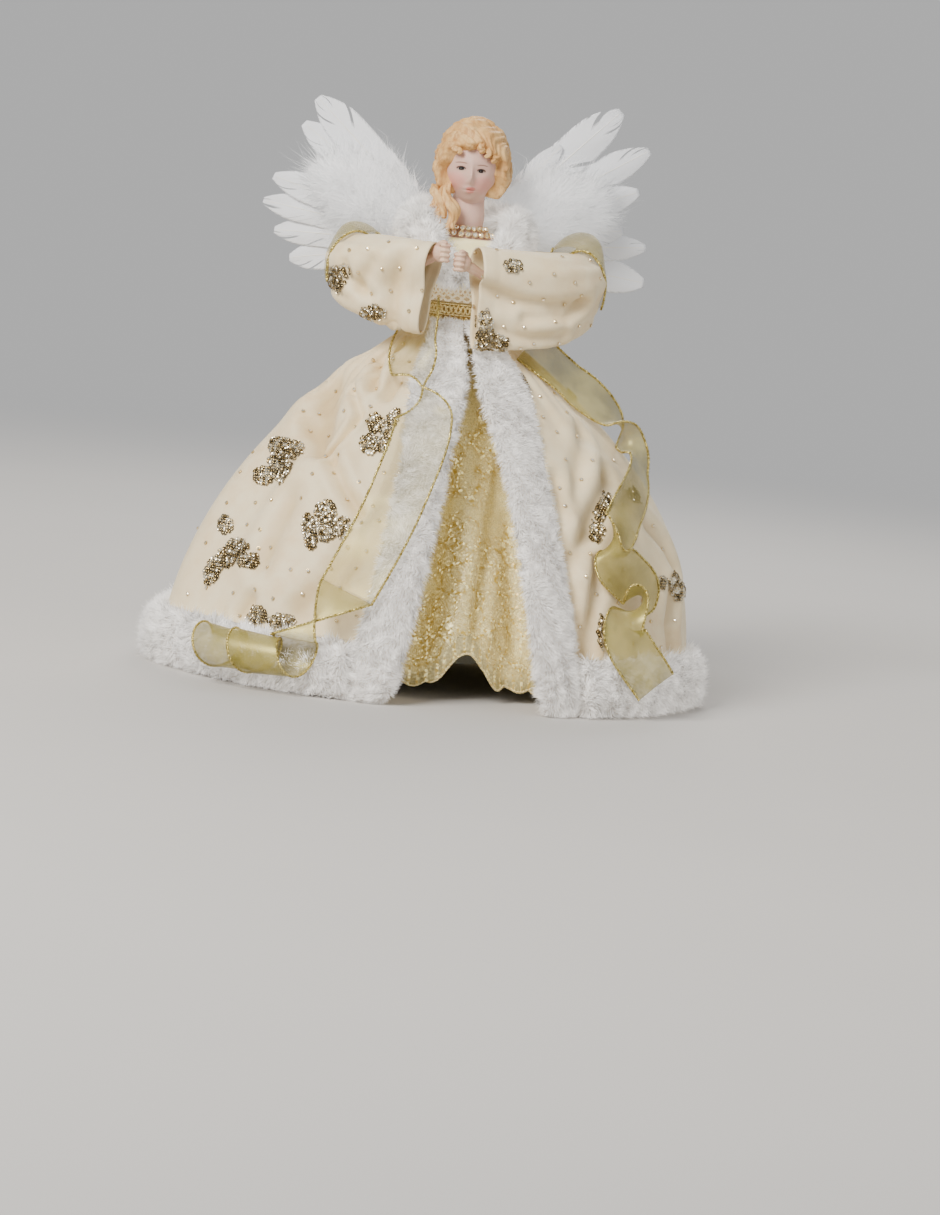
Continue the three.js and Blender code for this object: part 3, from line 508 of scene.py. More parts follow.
def crease(*lines):
    """A function that presses lines into a piece: each is (width, depth, pixel, pixel, ...) in mm."""
    def press(piece):
        points = points_of(piece)
        normals = normals_of(piece)
        facing = np.sign(normals @ TO_CAMERA + 1e-9)
        move = np.zeros(len(points))
        for width, depth, *pixels in lines:
            hits = [ray_hit(piece, *pixel) for pixel in pixels]
            line = [hit[0] for hit in hits if hit]
            if len(line) > 1:
                d = distance_to_line(points, line) / (width * MM)
                move += 1.6 * depth * MM * (0.45 * np.exp(-((d - 1.7) ** 2)) - np.exp(-d * d))
        set_points(piece, points + normals * (facing * move)[:, None])
        # The depth is kept as an attribute, with which the satin paints shade into the creases.
        layer = piece.data.attributes.new("crease_shade", "FLOAT", "POINT")
        layer.data.foreach_set("value", np.clip(-move / CREASE_SHADE_FULL, 0, 1).astype(np.float32))
    return press


print("camera looks from", TO_CAMERA.round(3).tolist())

# %% Coat panels
def beside(s, edge):
    return (fur_half(s) - 2 * MM) / coat_radius(edge(s), s)


press_right = crease(
    (12, 5.0, (347, 352), (330, 387), (322, 422), (324, 448)),
    (5, 2.4, (343, 350), (318, 387), (308, 424), (315, 452)),
    (3, 3.0, (319, 458), (353, 431), (361, 417), (356, 394)),
    (5, 3.6, (333, 461), (343, 486), (360, 514)),
    (5, 5.0, (379, 337), (376, 358)),
    (4, 3.4, (402, 346), (381, 360), (374, 390)),
    (5, 3.0, (399, 378), (388, 397)),
    (5, 2.6, (252, 600), (241, 615), (222, 627)),
    (4, 2.0, (190, 584), (165, 602)),
    (9, 3.0, (300, 640), (262, 560), (290, 500)),
    (11, 3.0, (350, 560), (330, 590), (300, 612)),
)
press_left = crease(
    (6, 2.6, (556, 480), (558, 542), (563, 561), (581, 655)),
    (7, 1.8, (581, 434), (579, 471), (572, 509)),
    (8, 2.6, (606, 478), (591, 519), (574, 556)),
    (6, 2.6, (597, 566), (591, 613), (587, 658)),
    (7, 2.6, (648, 526), (664, 545), (674, 568)),
    (7, 3.0, (672, 597), (668, 625), (670, 644)),
)
COAT_CLOTH = 0.9 * MM


def coat_panel(side, across, along, start, end, press=None):
    piece = cloth(f"coat_panel_{side}_satin", across, along, panel(start, end), COAT_CLOTH, champagne_satin,
                  press)
    stand_in(piece, "figure", f"coat_panel_{side}")
    return piece


coat_right = coat_panel("right", 140, 112, lambda s: -SEAM, lambda s: edge_right(s) - beside(s, edge_right),
                        press_right)
coat_left = coat_panel("left", 140, 112, lambda s: edge_left(s) + beside(s, edge_left), lambda s: SEAM,
                       press_left)
coat_back = coat_panel("back", 180, 80, lambda s: SEAM, lambda s: TAU - SEAM)

# %% [markdown]
# ## Gown satin and glitter lace
# The gown is a golden satin skirt under a lace skirt full of gold glitter. Glitter is thousands of tiny mirrors
# that all lean another way, so the shader gives each cell of a Voronoi pattern its own normal and its own gold.
# Between the motifs the lace is a thin net, which the Alpha socket lets the satin show through.

# %% Gown satin
def outside(w, place):
    """1 on the side of a skirt that faces away from the figure, 0 on its lining."""
    out = w.node("NewGeometry", output="Normal")
    return (place.axis(0) * out.axis(0) + place.axis(1) * out.axis(1)).step(0.0, 0.01)


def under_waist(place):
    """1 just under the waist, where the fur bands close over the gown and shade it, 0 lower down."""
    return place.axis(2).step(0.165, 0.235) * place.axis(2).step(0.258, 0.254)


@finish
def golden_satin(w):
    place = w.place()
    shade = place.noise(30, 3).step(0.3, 0.75)
    # The Emission Color is painted light: a warm gold glow on the outside of the skirt, left off just under the
    # waist, where the fur shades the gown.
    painted_glow = shade.mix(srgb(226, 208, 132), srgb(240, 224, 160))
    return {
        "Base Color": shade.mix(srgb(246, 234, 176), srgb(252, 245, 210)),
        "Emission Color": (outside(w, place) * (1 - under_waist(place))).mix(srgb(0, 0, 0), painted_glow),
        "Emission Strength": 0.26,
        "Roughness": 0.36,
        "Specular IOR Level": 0.6,
        "Sheen Weight": 0.2,
        "Normal": (place.noise(160, 3) + weave(w, 0.8 * MM) * 0.1).bump(0.3, 0.5 * MM),
    }


print("gown satin:", golden_satin.name)


# %% Glitter lace and cord
def sparkle(w, place, scale, lean):
    """Per-cell random numbers as a colour, and a normal that leans by them."""
    cells = place.cells(scale, "Color")
    tilt = w.vector("MULTIPLY_ADD", cells, (lean,) * 3, (-lean / 2,) * 3)
    leaning = w.vector("ADD", w.node("NewGeometry", output="Normal"), tilt)
    return cells.axis(0), w.vector("NORMALIZE", leaning)


@finish
def gold_lace(w):
    place = w.place()
    luck, facet = sparkle(w, place, 760, 0.5)
    uv = w.uv()
    low = place.axis(2).step(0.19, 0.05)
    scroll = place.noise(30, 2, 0.5)
    drift = w.node("TexNoise", inputs={"Vector": place, "Scale": 40.0}, output="Color")
    petals = w.vector("MULTIPLY_ADD", drift, (0.02,) * 3, place).cells(75.0, feature="DISTANCE_TO_EDGE")
    vein = petals.step(0.09, 0.05)
    ribs = ((petals * 60).sine() * 0.5 + 0.5).step(0.45, 0.75)
    leaf_part = (scroll + low * 0.2).step(0.52, 0.56)
    motif = vein.math("MAXIMUM", vein, ribs * 0.7) * (0.15 + leaf_part * 0.85)
    rib = (uv.axis(0) * (TAU / (7 * MM))).sine().step(0.2, 0.7)
    border = uv.axis(1).step(15 * MM, 12 * MM)
    dense = (border.mix(motif, 0.35 + rib * 0.5)).axis(0)
    grain = place.noise(700, 1).step(0.4, 0.6)
    # Bright cells of the glitter glow through the Emission Color as painted glints, with a dim gold painted glow
    # between them on the outside of the skirt.
    glint = luck.step(0.78, 0.88) * dense
    glitter = luck.step(0.1, 0.8).mix(srgb(204, 172, 76), srgb(255, 244, 190))
    painted_glow = glint.mix(srgb(70, 58, 20), srgb(255, 238, 164))
    return {
        # Just under the waist the lace is painted dark brown and its glow is dimmed: painted shade where the fur
        # bands close over the gown.
        "Base Color": under_waist(place).mix(dense.mix(srgb(248, 234, 180), glitter), srgb(138, 102, 40)),
        "Emission Color": (outside(w, place) * (1 - under_waist(place) * 0.7)).mix(srgb(0, 0, 0), painted_glow),
        "Emission Strength": 0.8,
        "Metallic": dense * 0.12,
        "Roughness": 0.42 - dense * 0.14,
        "Alpha": 0.1 + dense * 0.75 + grain * 0.15,
        "Normal": facet,
    }


@finish
def gold_cord(w):
    place = w.place()
    luck, facet = sparkle(w, place, 1500, 0.7)
    # The Emission Color is painted light: a glow on the cord, bright on some cells as painted glints.
    return {
        "Base Color": luck.mix(srgb(222, 194, 116), srgb(255, 246, 204)),
        "Emission Color": luck.step(0.3, 0.9).mix(srgb(60, 44, 14), srgb(255, 238, 170)),
        "Emission Strength": 0.22,
        "Metallic": 0.5,
        "Roughness": 0.34,
        "Normal": facet,
    }


print("glitter:", gold_lace.name, gold_cord.name)

# %% [markdown]
# ## The gown's two skirts
# Both skirts are one closed grid, so the first and last columns are merged. The front hem rises in a notch, under
# which the corner of the clear cone shows. The lace ends in pointed scallops.

# %% Gown skirts
NOTCH_AT = math.radians(8)
GOWN_FOLDS = 9


def skirt(grow, foot_z, dip):
    def place(u, v):
        angle = TAU * u
        off = np.arctan2(np.sin(angle - NOTCH_AT), np.cos(angle - NOTCH_AT))
        notch = np.exp(-((off / math.radians(9)) ** 2))
        foot = foot_z + 0.030 * notch + dip(angle) * (1 - notch)
        z = lerp(foot, WAIST_Z - 0.4 * MM, v)
        s = (WAIST_Z - z) / WAIST_Z
        fold = 5 * MM * s * np.cos(GOWN_FOLDS * (angle - NOTCH_AT)) + 5 * MM * s * notch
        fold += 0.7 * MM * s * np.sin(31 * angle + 3 * s + np.sin(4 * angle))
        r = 0.106 * (1 - (1 - s) ** 1.15) + fold
        keep = 1 - 0.8 * s
        return around(angle, r + WAIST_RX * keep + grow, r + WAIST_RY * keep + grow, z)
    return place


def scallop(angle):
    return MM * (6 * (1 - np.abs(np.cos(4.5 * (angle - NOTCH_AT)))) + 4 * (1 - np.abs(np.cos(18 * angle))))


gown_folds = crease(
    (9, 3.0, (450, 450), (438, 520), (425, 590), (412, 650)),
    (8, -2.2, (494, 445), (478, 520), (464, 590), (452, 640)),
    (6, 2.2, (508, 520), (512, 580), (516, 650)),
    (6, 2.0, (484, 560), (480, 600), (478, 628)),
)
gown = cloth("gown_satin_skirt", 252, 48, skirt(0.8 * MM, 0.015, lambda a: 0 * a), 0.8 * MM,
             golden_satin, gown_folds, closed=True)
stand_in(gown, "figure", "underskirt")
lace_place = skirt(2.5 * MM, 0.003, scallop)
lace = cloth("gown_lace_skirt", 324, 48, lace_place, 0.5 * MM,
             gold_lace, gown_folds, closed=True)
stand_in(lace, "figure", "lace_overskirt")

# %% [markdown]
# ## Cords
# A gold cord edges the lace, and two of them stiffen the ribbon. A cord is made of two plies wound round each
# other, so its surface catches the light in a row of small steps. It follows any line of points.

# %% Tubes
def piece_from(name, points, faces, material):
    mesh = bpy.data.meshes.new(name)
    mesh.from_pydata(np.asarray(points).tolist(), [], np.asarray(faces).tolist())
    piece = bpy.data.objects.new(name, mesh)
    bpy.context.scene.collection.objects.link(piece)
    mesh.materials.append(material)
    return piece


def resample(line, step):
    line = np.asarray(line, float)
    run = np.concatenate([[0], np.cumsum(np.linalg.norm(np.diff(line, axis=0), axis=1))])
    marks = np.linspace(0, run[-1], max(int(run[-1] / step), 2) + 1)
    return np.stack([np.interp(marks, run, line[:, k]) for k in range(3)], 1), marks


def frames_along(line):
    """Two directions across a line for each of its points."""
    tangent = np.gradient(line, axis=0)
    tangent /= np.linalg.norm(tangent, axis=1)[:, None] + 1e-12
    across = np.empty_like(line)
    guess = np.array([0.3, 0.2, 1.0])
    for i, t in enumerate(tangent):
        guess = guess - t * (guess @ t)
        guess /= np.linalg.norm(guess) + 1e-12
        across[i] = guess
    return across, np.cross(tangent, across)


def ring_turns(sides):
    return np.arange(sides) * TAU / sides


def tube(line, radius, sides):
    """Points and faces of a tube; radius is one number, or an array of one row for each point."""
    a, b = frames_along(line)
    turn = ring_turns(sides)[None, :, None]
    round_it = a[:, None] * np.cos(turn) + b[:, None] * np.sin(turn)
    points = (line[:, None] + np.asarray(radius)[..., None] * round_it).reshape(-1, 3)
    i, k = np.meshgrid(np.arange(len(line) - 1), np.arange(sides), indexing="ij")
    n = (k + 1) % sides
    faces = np.stack([i * sides + k, i * sides + n, (i + 1) * sides + n, (i + 1) * sides + k], -1)
    return points, faces.reshape(-1, 4)


print("tube maker ready")


# %% Cord maker
# Lengths of a cord, times its thickness: a step along it, a full turn, and the plies' offset and radius
CORD_STEP, CORD_LAY, PLY_OFFSET, PLY_RADIUS = 0.45, 2.6, 0.24, 0.29


def gather(parts):
    """Several (points, faces) as one."""
    points, faces, start = [], [], 0
    for p, f in parts:
        points.append(p)
        faces += (np.asarray(f) + start).tolist()
        start += len(p)
    return np.concatenate(points), faces


def cord(name, lines, thick, body, material):
    """One piece of two-ply cord along each line."""
    parts = []
    for line in lines:
        fine, run = resample(line, CORD_STEP * thick)
        a, b = frames_along(fine)
        for ply in (0, math.pi):
            turn = (run / (CORD_LAY * thick) * TAU + ply)[:, None]
            strand = fine + PLY_OFFSET * thick * (a * np.cos(turn) + b * np.sin(turn))
            parts.append(tube(strand, PLY_RADIUS * thick, 5))
    points, faces = gather(parts)
    made = piece_from(name, points, faces, material)
    smooth(made)
    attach(made, body)
    print(name, len(faces), "faces")


EDGE_CORD = 1.9 * MM
u = np.linspace(0, 1, 1297)
cord("lace_edge_cord", [lace_place(u, 0 * u)], EDGE_CORD, "figure", gold_cord)

# %% [markdown]
# ## Upper body
# The bodice and the coat's upper part lie close on the doll's chest. Both are a grid wrapped round an oval
# whose size changes with the height. The curve helper gives the same smooth line through points as the CAD model.

# %% Figure and curves
FIGURE = MM * np.array([(245, 18, 15), (280, 26, 18), (294, 25, 17), (308, 10.5, 10), (329, 9, 9)])


def figure(z, grow=0.0):
    """The figure's half width and half depth at a height."""
    z = np.asarray(z, float)
    row = np.clip(np.searchsorted(FIGURE[:, 0], z, "right"), 1, len(FIGURE) - 1)
    low, high = FIGURE[row - 1], FIGURE[row]
    t = smoothstep(z, low[..., 0], high[..., 0])
    return lerp(low[..., 1], high[..., 1], t) + grow, lerp(low[..., 2], high[..., 2], t) + grow


def unit(v):
    return v / (np.linalg.norm(v, axis=-1, keepdims=True) + 1e-12)


def curve(points):
    """A smooth line through points in millimetres: a function from 0-1 to points in metres."""
    p = MM * np.asarray(points, float)
    p = np.vstack([2 * p[0] - p[1], p, 2 * p[-1] - p[-2]])
    gap = np.linalg.norm(np.diff(p, axis=0), axis=1) ** 0.5

    def at(t):
        t = np.clip(np.asarray(t, float), 0, 1) * (len(p) - 3)
        i = np.minimum(t.astype(int), len(p) - 4)
        w = (t - i)[..., None]
        x0, x1, x2, x3 = (p[i + k] for k in range(4))
        d0, d1, d2 = (gap[i + k][..., None] for k in range(3))
        m1 = d1 * ((x1 - x0) / d0 - (x2 - x0) / (d0 + d1) + (x2 - x1) / d1)
        m2 = d1 * ((x2 - x1) / d1 - (x3 - x1) / (d1 + d2) + (x3 - x2) / d2)
        return x1 + w * (m1 + w * (3 * (x2 - x1) - 2 * m1 - m2 + w * (2 * (x1 - x2) + m1 + m2)))
    return at


def heading(path, t):
    return unit(path(np.minimum(t + 1e-3, 1)) - path(np.maximum(t - 1e-3, 0)))


print("half width and depth of the chest:", [round(float(half) * 1000) for half in figure(0.28)], "mm")

# %% Bodice and yoke
def shell(grow, start, end, low, high, ruffle):
    def place(u, v):
        z = lerp(low, high, v)
        angle = lerp(start, end, u)
        rx, ry = figure(z, grow + ruffle * np.sin(38 * angle + 2 * np.sin(5 * angle)) * (1 - v))
        return around(angle, rx, ry, z)
    return place


bodice = cloth("bodice_satin", 96, 30, shell(0.8 * MM, 0, TAU, 0.2454, 0.2982, 0.25 * MM), 0.8 * MM,
               golden_satin, closed=True)
stand_in(bodice, "figure", "bodice")
open_at = math.radians(48)
yoke = cloth("coat_yoke_satin", 96, 30, shell(2.05 * MM, open_at, TAU - open_at, 0.2454, 0.294, 0.3 * MM),
             COAT_CLOTH, champagne_satin)
stand_in(yoke, "figure", "coat_yoke")

# %% [markdown]
# ## Sleeves
# Each sleeve is a bell of satin over the bent wire arm. It is narrow at the shoulder, where it is gathered,
# and wide at the cuff, where the edge is turned in and stitched. A tube of quads follows the arm's curve, and the
# creases at the elbow are pressed in like those of the coat.

# %% Sleeves
def ellipse(middle, a, b, wide, tall, turn):
    """Points round a middle, in the plane of the directions a and b."""
    return middle + a * (wide * np.cos(turn))[:, None] + b * (tall * np.sin(turn))[:, None]


def sleeve_shape(sign, reach, cuff_x, cuff_height, share, forearm_y, flatness):
    """The sleeve's surface as a function of the turn round the arm, the place along it and a lift."""
    cuff_z = 295 - cuff_height / 2
    path = curve([
        (sign * 27.9, 0, 281), (sign * 35.3, 0, 281), (sign * lerp(29.3, reach, 0.6), 1, 277),
        (sign * reach, -13, 271), (sign * lerp(cuff_x, reach, share), forearm_y, cuff_z + 3),
        (sign * cuff_x, -55, cuff_z),
    ])

    def surface(turn, t, lift=0.0):
        """The point at a turn round the arm and a place along it."""
        tangent = heading(path, t)
        across = unit(np.cross(tangent, (0, 0, 1)))
        rise = np.cross(across, tangent)
        tall = MM * lerp(12.4, cuff_height / 2, smoothstep(t, 0.12, 1)) + lift
        flat = smoothstep(t, 0.5, 1) * smoothstep(-np.sin(turn), -0.6, 0.2)
        deep = MM * (lerp(11.5, 13, t) + 6 * np.sin(math.pi * t)) * (1 - flatness * flat) + lift
        return ellipse(path(t), across, rise, deep * sign, tall, turn)
    return surface


def bell(surface):
    def place(u, v):
        turn = TAU * u
        gathers = 0.7 * np.sin(21 * turn + np.sin(3 * turn)) * (1 - smoothstep(v, 0.02, 0.3))
        folds = 1.5 * np.sin(4 * turn + 5 * v) * smoothstep(v, 0.25, 0.8)
        small = 0.5 * np.sin(11 * turn - 9 * v + np.sin(5 * turn)) * np.sin(math.pi * v)
        stitch = -0.55 * np.exp(-(((v - 0.958) / 0.006) ** 2))
        turned = 0.5 * smoothstep(v, 0.958, 0.972)
        return surface(turn, v, MM * (gathers + folds + small + stitch + turned))
    return place


right_surface = sleeve_shape(-1, 74, 27, 62, 0.62, -36, 0.5)
left_surface = sleeve_shape(1, 78, 4, 68, 0.7, -40, 0.6)
press_right_sleeve = crease(
    (6, 2.2, (402, 258), (395, 287), (393, 324)),
    (5, 1.6, (372, 262), (360, 290), (358, 316)),
    (4, 1.4, (345, 262), (352, 280), (372, 296)),
)
press_left_sleeve = crease(
    (5, 2.2, (483, 287), (514, 301), (555, 307), (581, 301)),
    (4, 2.0, (524, 318), (565, 318), (583, 303)),
    (5, 1.6, (500, 330), (530, 340), (560, 336)),
)
sleeves = {}
for side, surface, press in (("right", right_surface, press_right_sleeve),
                             ("left", left_surface, press_left_sleeve)):
    made = cloth(f"{side}_sleeve_satin", 96, 128, bell(surface), 1.0 * MM, champagne_satin,
                 press, closed=True)
    stand_in(made, f"{side}_arm", f"{side}_sleeve")
    sleeves[side] = made

# %% [markdown]
# ## Sheer ribbon
# The ribbon is organza 38 mm wide: fine stiff threads with gaps between them, so the coat shows through. The shader
# draws the threads on the UV map and leaves the gaps to Alpha. Each edge has a thin gold cord.

# %% Ribbon finishes
RIBBON = 38 * MM
RIBBON_CLOTH = 0.35 * MM


def organza(w, cover):
    """Fine crossed threads; cover is how much of the light each face of the ribbon stops."""
    uv = w.uv()
    place = w.place()
    warp = (uv.axis(0) * (TAU / (0.8 * MM))).sine() * 0.5 + 0.5
    weft = (uv.axis(1) * (TAU / (0.8 * MM))).sine() * 0.5 + 0.5
    threads = warp.math("MAXIMUM", warp, weft)
    shimmer = place.noise(40, 3).step(0.35, 0.65)
    return {
        "Base Color": shimmer.mix(srgb(154, 140, 56), srgb(198, 184, 104)),
        "Metallic": 0.3,
        "Roughness": 0.34,
        "Alpha": threads * (0.9 * cover) + 0.35 * cover,
        "Normal": (threads * 0.3 + place.noise(220, 2)).bump(0.3, 0.3 * MM),
    }


@finish
def sheer_ribbon(w):
    return organza(w, 0.15)


@finish
def loose_ribbon(w):
    return organza(w, 0.27)


@finish
def doubled_ribbon(w):
    return organza(w, 0.48)


@finish
def ribbon_cord(w):
    place = w.place()
    luck, facet = sparkle(w, place, 1100, 0.8)
    return {
        "Base Color": luck.mix(srgb(138, 116, 40), srgb(242, 226, 150)),
        "Metallic": 0.9,
        "Roughness": 0.28,
        "Normal": facet,
    }


print("ribbon finishes:", sheer_ribbon.name, loose_ribbon.name, doubled_ribbon.name, ribbon_cord.name)


# %% Hanging ends of the ribbon
def ribbon(name, along, place, body, node, material):
    """A length of ribbon: place(u, v) has u along it and v across it. Both edges get a cord."""
    made = cloth(name, 22, along, lambda u, v: place(v, u), RIBBON_CLOTH, material)
    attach(made, body)
    if node:
        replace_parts(made, node)
    t = np.linspace(0, 1, 4 * along)
    edges = [place(t, np.full_like(t, v)) for v in (0.012, 0.988)]
    cord(f"{name}_cords", edges, EDGE_CORD, body, ribbon_cord)


def beside_way(v, way):
    """The part of v that is square to way, one unit long."""
    return unit(v - way * (v * way).sum(-1, keepdims=True))


def streamer(points, turns, pinch, ripple):
    path = curve(points)

    def place(u, v):
        c = path(u)
        tangent = heading(path, u)
        out = beside_way(unit(c * (1, 1, 0)), tangent)
        across = np.cross(tangent, out)
        turn = turns(u)
        half = RIBBON * (1 - pinch * np.abs(np.sin(turn))) * (v - 0.5)
        buckle = ripple * np.sin(TAU * 5 * u + 3 * v) * np.sin(math.pi * v)
        side = across * np.cos(turn)[:, None] + out * np.sin(turn)[:, None]
        face = out * np.cos(turn)[:, None] - across * np.sin(turn)[:, None]
        return c + side * half[:, None] + face * buckle[:, None]
    return place


def on_coat(degrees, share, lift):
    """A point in millimetres at a share of the waist's height, lifted off the coat."""
    angle, s, step = math.radians(degrees), 1 - share, 1e-3
    ring_way = coat_point(angle + step, s) - coat_point(angle - step, s)
    down = coat_point(angle, s + step) - coat_point(angle, s - step)
    return coat_point(angle, s) / MM + unit(np.cross(down, ring_way)) * lift


def flip(u, corner, soft):
    return math.pi * smoothstep(u, corner - soft, corner + soft)


right_line = [on_coat(*p) for p in (
    (-50, 0.971, 13), (-33, 0.87, 13), (-20.5, 0.785, 13.6), (-15.5, 0.685, 14),
    (-18.5, 0.53, 14), (-21.5, 0.425, 13.5), (-27, 0.27, 13))]
left_line = [on_coat(*p) for p in (
    (65, 0.922, 9), (73, 0.835, 9.5), (78, 0.725, 12), (72, 0.62, 12), (51, 0.5, 12),
    (43, 0.415, 12), (51, 0.315, 12), (43, 0.23, 16), (50, 0.09, 24))]
right_streamer = streamer(right_line, lambda u: flip(u, 0.33, 0.14), 0.8, 1.0 * MM)
ribbon("ribbon_right_end", 150, right_streamer, "figure", "ribbon_streamer_right", sheer_ribbon)
ribbon("ribbon_left_end", 260,
       streamer(left_line, lambda u: sum(flip(u, c, 0.07) for c in (0.3, 0.6, 0.8)) - 0.35, 0.5, 1.0 * MM),
       "figure", "ribbon_streamer_left", doubled_ribbon)

# %% Ribbon swag, loops and curl
def swag(u, v):
    x = lerp(-0.052, 0.052, u)
    away = smoothstep(np.abs(x), 0.014, 0.044)
    belt = float(figure(0.265, 2.9 * MM)[1]) + 3.2 * MM
    y = lerp(belt, 0.0215, away) + MM * (1.2 * np.sin(14 * v + 6 * u) + 0.5 * np.sin(31 * v - 9 * u))
    half = lerp(0.32, 0.44, away) * RIBBON
    return np.stack([x, y, 0.262 + 0.004 * away + half * (2 * v - 1)], -1)


def loop(surface, rise):
    def place(u, v):
        turn = lerp(3 * TAU / 16, 9 * TAU / 16, u)
        t = lerp(0.375, 0.625, v)
        puff = rise * np.exp(-(((turn - 0.27 * TAU) / 0.55) ** 2)) * np.sin(math.pi * v) ** 0.6
        return surface(turn, t, 1.6 * MM + puff)
    return place


CURL_LIFT, CURL_Z, CURL_RADIUS = 0.0238, 0.025, 0.0125


def curl(u, v):
    angle = np.radians(lerp(-29, -58, np.clip(u * 0.62 + (v - 0.5) * 0.36 + 0.19, 0, 1)))
    c = coat_point(angle, S_ROLL, CURL_LIFT)
    c[..., 2] = CURL_Z
    turn = TAU * 2.2 * u + 0.5 * math.pi
    r = CURL_RADIUS * (1 + 0.16 * (v - 0.5))
    return ellipse(c, unit(c * (1, 1, 0)), np.array((0, 0, 1)), r, r, turn)


def fold(u, v):
    """The stretch between the hanging end and the curl, which folds over as it goes."""
    one = np.ones_like(u)
    above, below = right_streamer(one, v), curl(0 * one, v)
    way = smoothstep(u, 0, 1)[:, None]
    bulge = 6 * MM * np.sin(math.pi * u)[:, None]
    return lerp(above, below, way) + unit(above * (1, 1, 0)) * bulge


ribbon("ribbon_behind_waist", 60, swag, "figure", "ribbon_swag", doubled_ribbon)
ribbon("ribbon_right_fold", 60, fold, "figure", None, doubled_ribbon)
ribbon("ribbon_curled_end", 200, curl, "figure", "ribbon_curl_right", doubled_ribbon)
for side, surface, rise in (("right", right_surface, 8 * MM), ("left", left_surface, 15 * MM)):
    ribbon(f"ribbon_over_{side}_sleeve", 60, loop(surface, rise), f"{side}_arm", f"{side}_ribbon_loop",
           loose_ribbon)

# %% [markdown]
# ## Fur
# Plush fur is a knitted backing with a dense pile. Blender's own hair is not a mesh and wouldn't reach the exported
# model, so each hair here is a needle with three sides and no base. Its normals lean towards the backing's,
# so the pile shades as one soft surface. The UV map holds a random number for each hair and the place along it.

# %% Fur finishes
@finish
def fur_backing(w):
    place = w.place()
    knit = place.noise(900, 2)
    return {
        "Base Color": knit.mix(srgb(222, 218, 212), srgb(240, 238, 234)),
        "Roughness": 0.9,
        "Sheen Weight": 0.3,
        "Normal": knit.bump(0.5, 0.5 * MM),
    }


@finish
def white_pile(w):
    uv = w.uv()
    # Each hair is painted darker towards its root and in patches of noise: painted shade deep in the pile and between
    # the tufts. The Emission Color is painted light, a glow that is dimmest at the roots.
    clump_shade = w.place().noise(150, 2).step(0.38, 0.6)
    tip = uv.axis(1).step(0, 0.75) * (0.55 + clump_shade * 0.45)
    hair = uv.axis(0).mix(srgb(243, 240, 235), srgb(255, 254, 252))
    return {
        "Base Color": tip.mix(srgb(222, 217, 210), hair),
        "Roughness": 0.8 - tip * 0.15,
        "Emission Color": tip.mix(srgb(112, 106, 98), srgb(255, 248, 238)),
        "Emission Strength": 0.8,
        "Sheen Weight": 0.5,
        "Specular IOR Level": 0.25,
    }


print("fur finishes:", fur_backing.name, white_pile.name)

# %% Hair roots
LOWEST_HAIR = 0.3 * MM


def sway(points, scale, seed):
    """A smooth random direction at each point, so that neighbouring hairs lean alike."""
    luck = np.random.default_rng(seed)
    waves = luck.normal(size=(6, 3)) * scale
    lean = luck.normal(size=(6, 3))
    return np.sin(points @ waves.T + luck.uniform(0, TAU, 6)) @ lean / 2.4


def scatter(piece, count, luck):
    """Random points on a piece, spread evenly over its area, and the normals there."""
    mesh = piece.data
    mesh.calc_loop_triangles()
    corners = np.empty(len(mesh.loop_triangles) * 3, np.int32)
    mesh.loop_triangles.foreach_get("vertices", corners)
    corners = corners.reshape(-1, 3)
    points, normals = points_of(piece), normals_of(piece)
    a, b, c = (points[corners[:, k]] for k in range(3))
    area = np.linalg.norm(np.cross(b - a, c - a), axis=1)
    pick = np.searchsorted(np.cumsum(area) / area.sum(), luck.uniform(0, 1, count))
    share = luck.dirichlet((1, 1, 1), count)[..., None]
    where = (points[corners[pick]] * share).sum(1)
    return where, unit((normals[corners[pick]] * share).sum(1))


print("no hair ends lower than", LOWEST_HAIR * 1000, "mm")


# %% Pile maker
def pile(name, roots, normals, ways, lengths, radius, material, body, luck, bend=None, soft=0.25):
    """Hairs as needles that leave their roots along ways; bend moves the upper half of each hair."""
    count = len(roots)
    lengths = lengths[:, None]
    a = unit(np.cross(ways, luck.normal(size=(count, 3)))) * radius
    b = np.cross(ways, a)
    corners = [a * math.cos(k * TAU / 3) + b * math.sin(k * TAU / 3) for k in range(3)]
    if bend is None:
        rows = [roots + c for c in corners] + [roots + ways * lengths]
        sides, up_hair = [(0, 1, 3), (1, 2, 3), (2, 0, 3)], (0, 0, 0, 1)
    else:
        middle = roots + ways * lengths * 0.5
        tip = middle + unit(ways + bend) * lengths * 0.5
        rows = [roots + c for c in corners] + [middle + 0.7 * c for c in corners] + [tip]
        sides = [f for k in range(3) for f in ((k, (k + 1) % 3, 3 + (k + 1) % 3), (k, 3 + (k + 1) % 3, 3 + k))]
        sides += [(3, 4, 6), (4, 5, 6), (5, 3, 6)]
        up_hair = (0, 0, 0, 0.5, 0.5, 0.5, 1)
    points = np.stack(rows, 1)
    points[..., 2] = np.maximum(points[..., 2], LOWEST_HAIR)
    each = len(rows)
    faces = (each * np.arange(count)[:, None, None] + np.array(sides)).reshape(-1, 3)
    made = piece_from(name, points.reshape(-1, 3), faces, material)
    smooth(made)
    shade = unit(normals + soft * luck.normal(size=(count, 3)))
    made.data.normals_split_custom_set_from_vertices(np.repeat(shade, each, axis=0).tolist())
    layer = made.data.uv_layers.new(name="UVMap").data
    uv = np.stack([np.repeat(luck.uniform(0, 1, count), each), np.tile(up_hair, count)], 1)
    layer.foreach_set("uv", uv[faces.ravel()].astype(np.float32).ravel())
    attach(made, body)
    print(name, count, "hairs")


def tufts(roots, seed):
    """How long the hairs grow at each root: they stand in tufts."""
    return np.clip(1 + 0.3 * sway(roots, 420, seed)[:, 0], 0.6, 1.35)


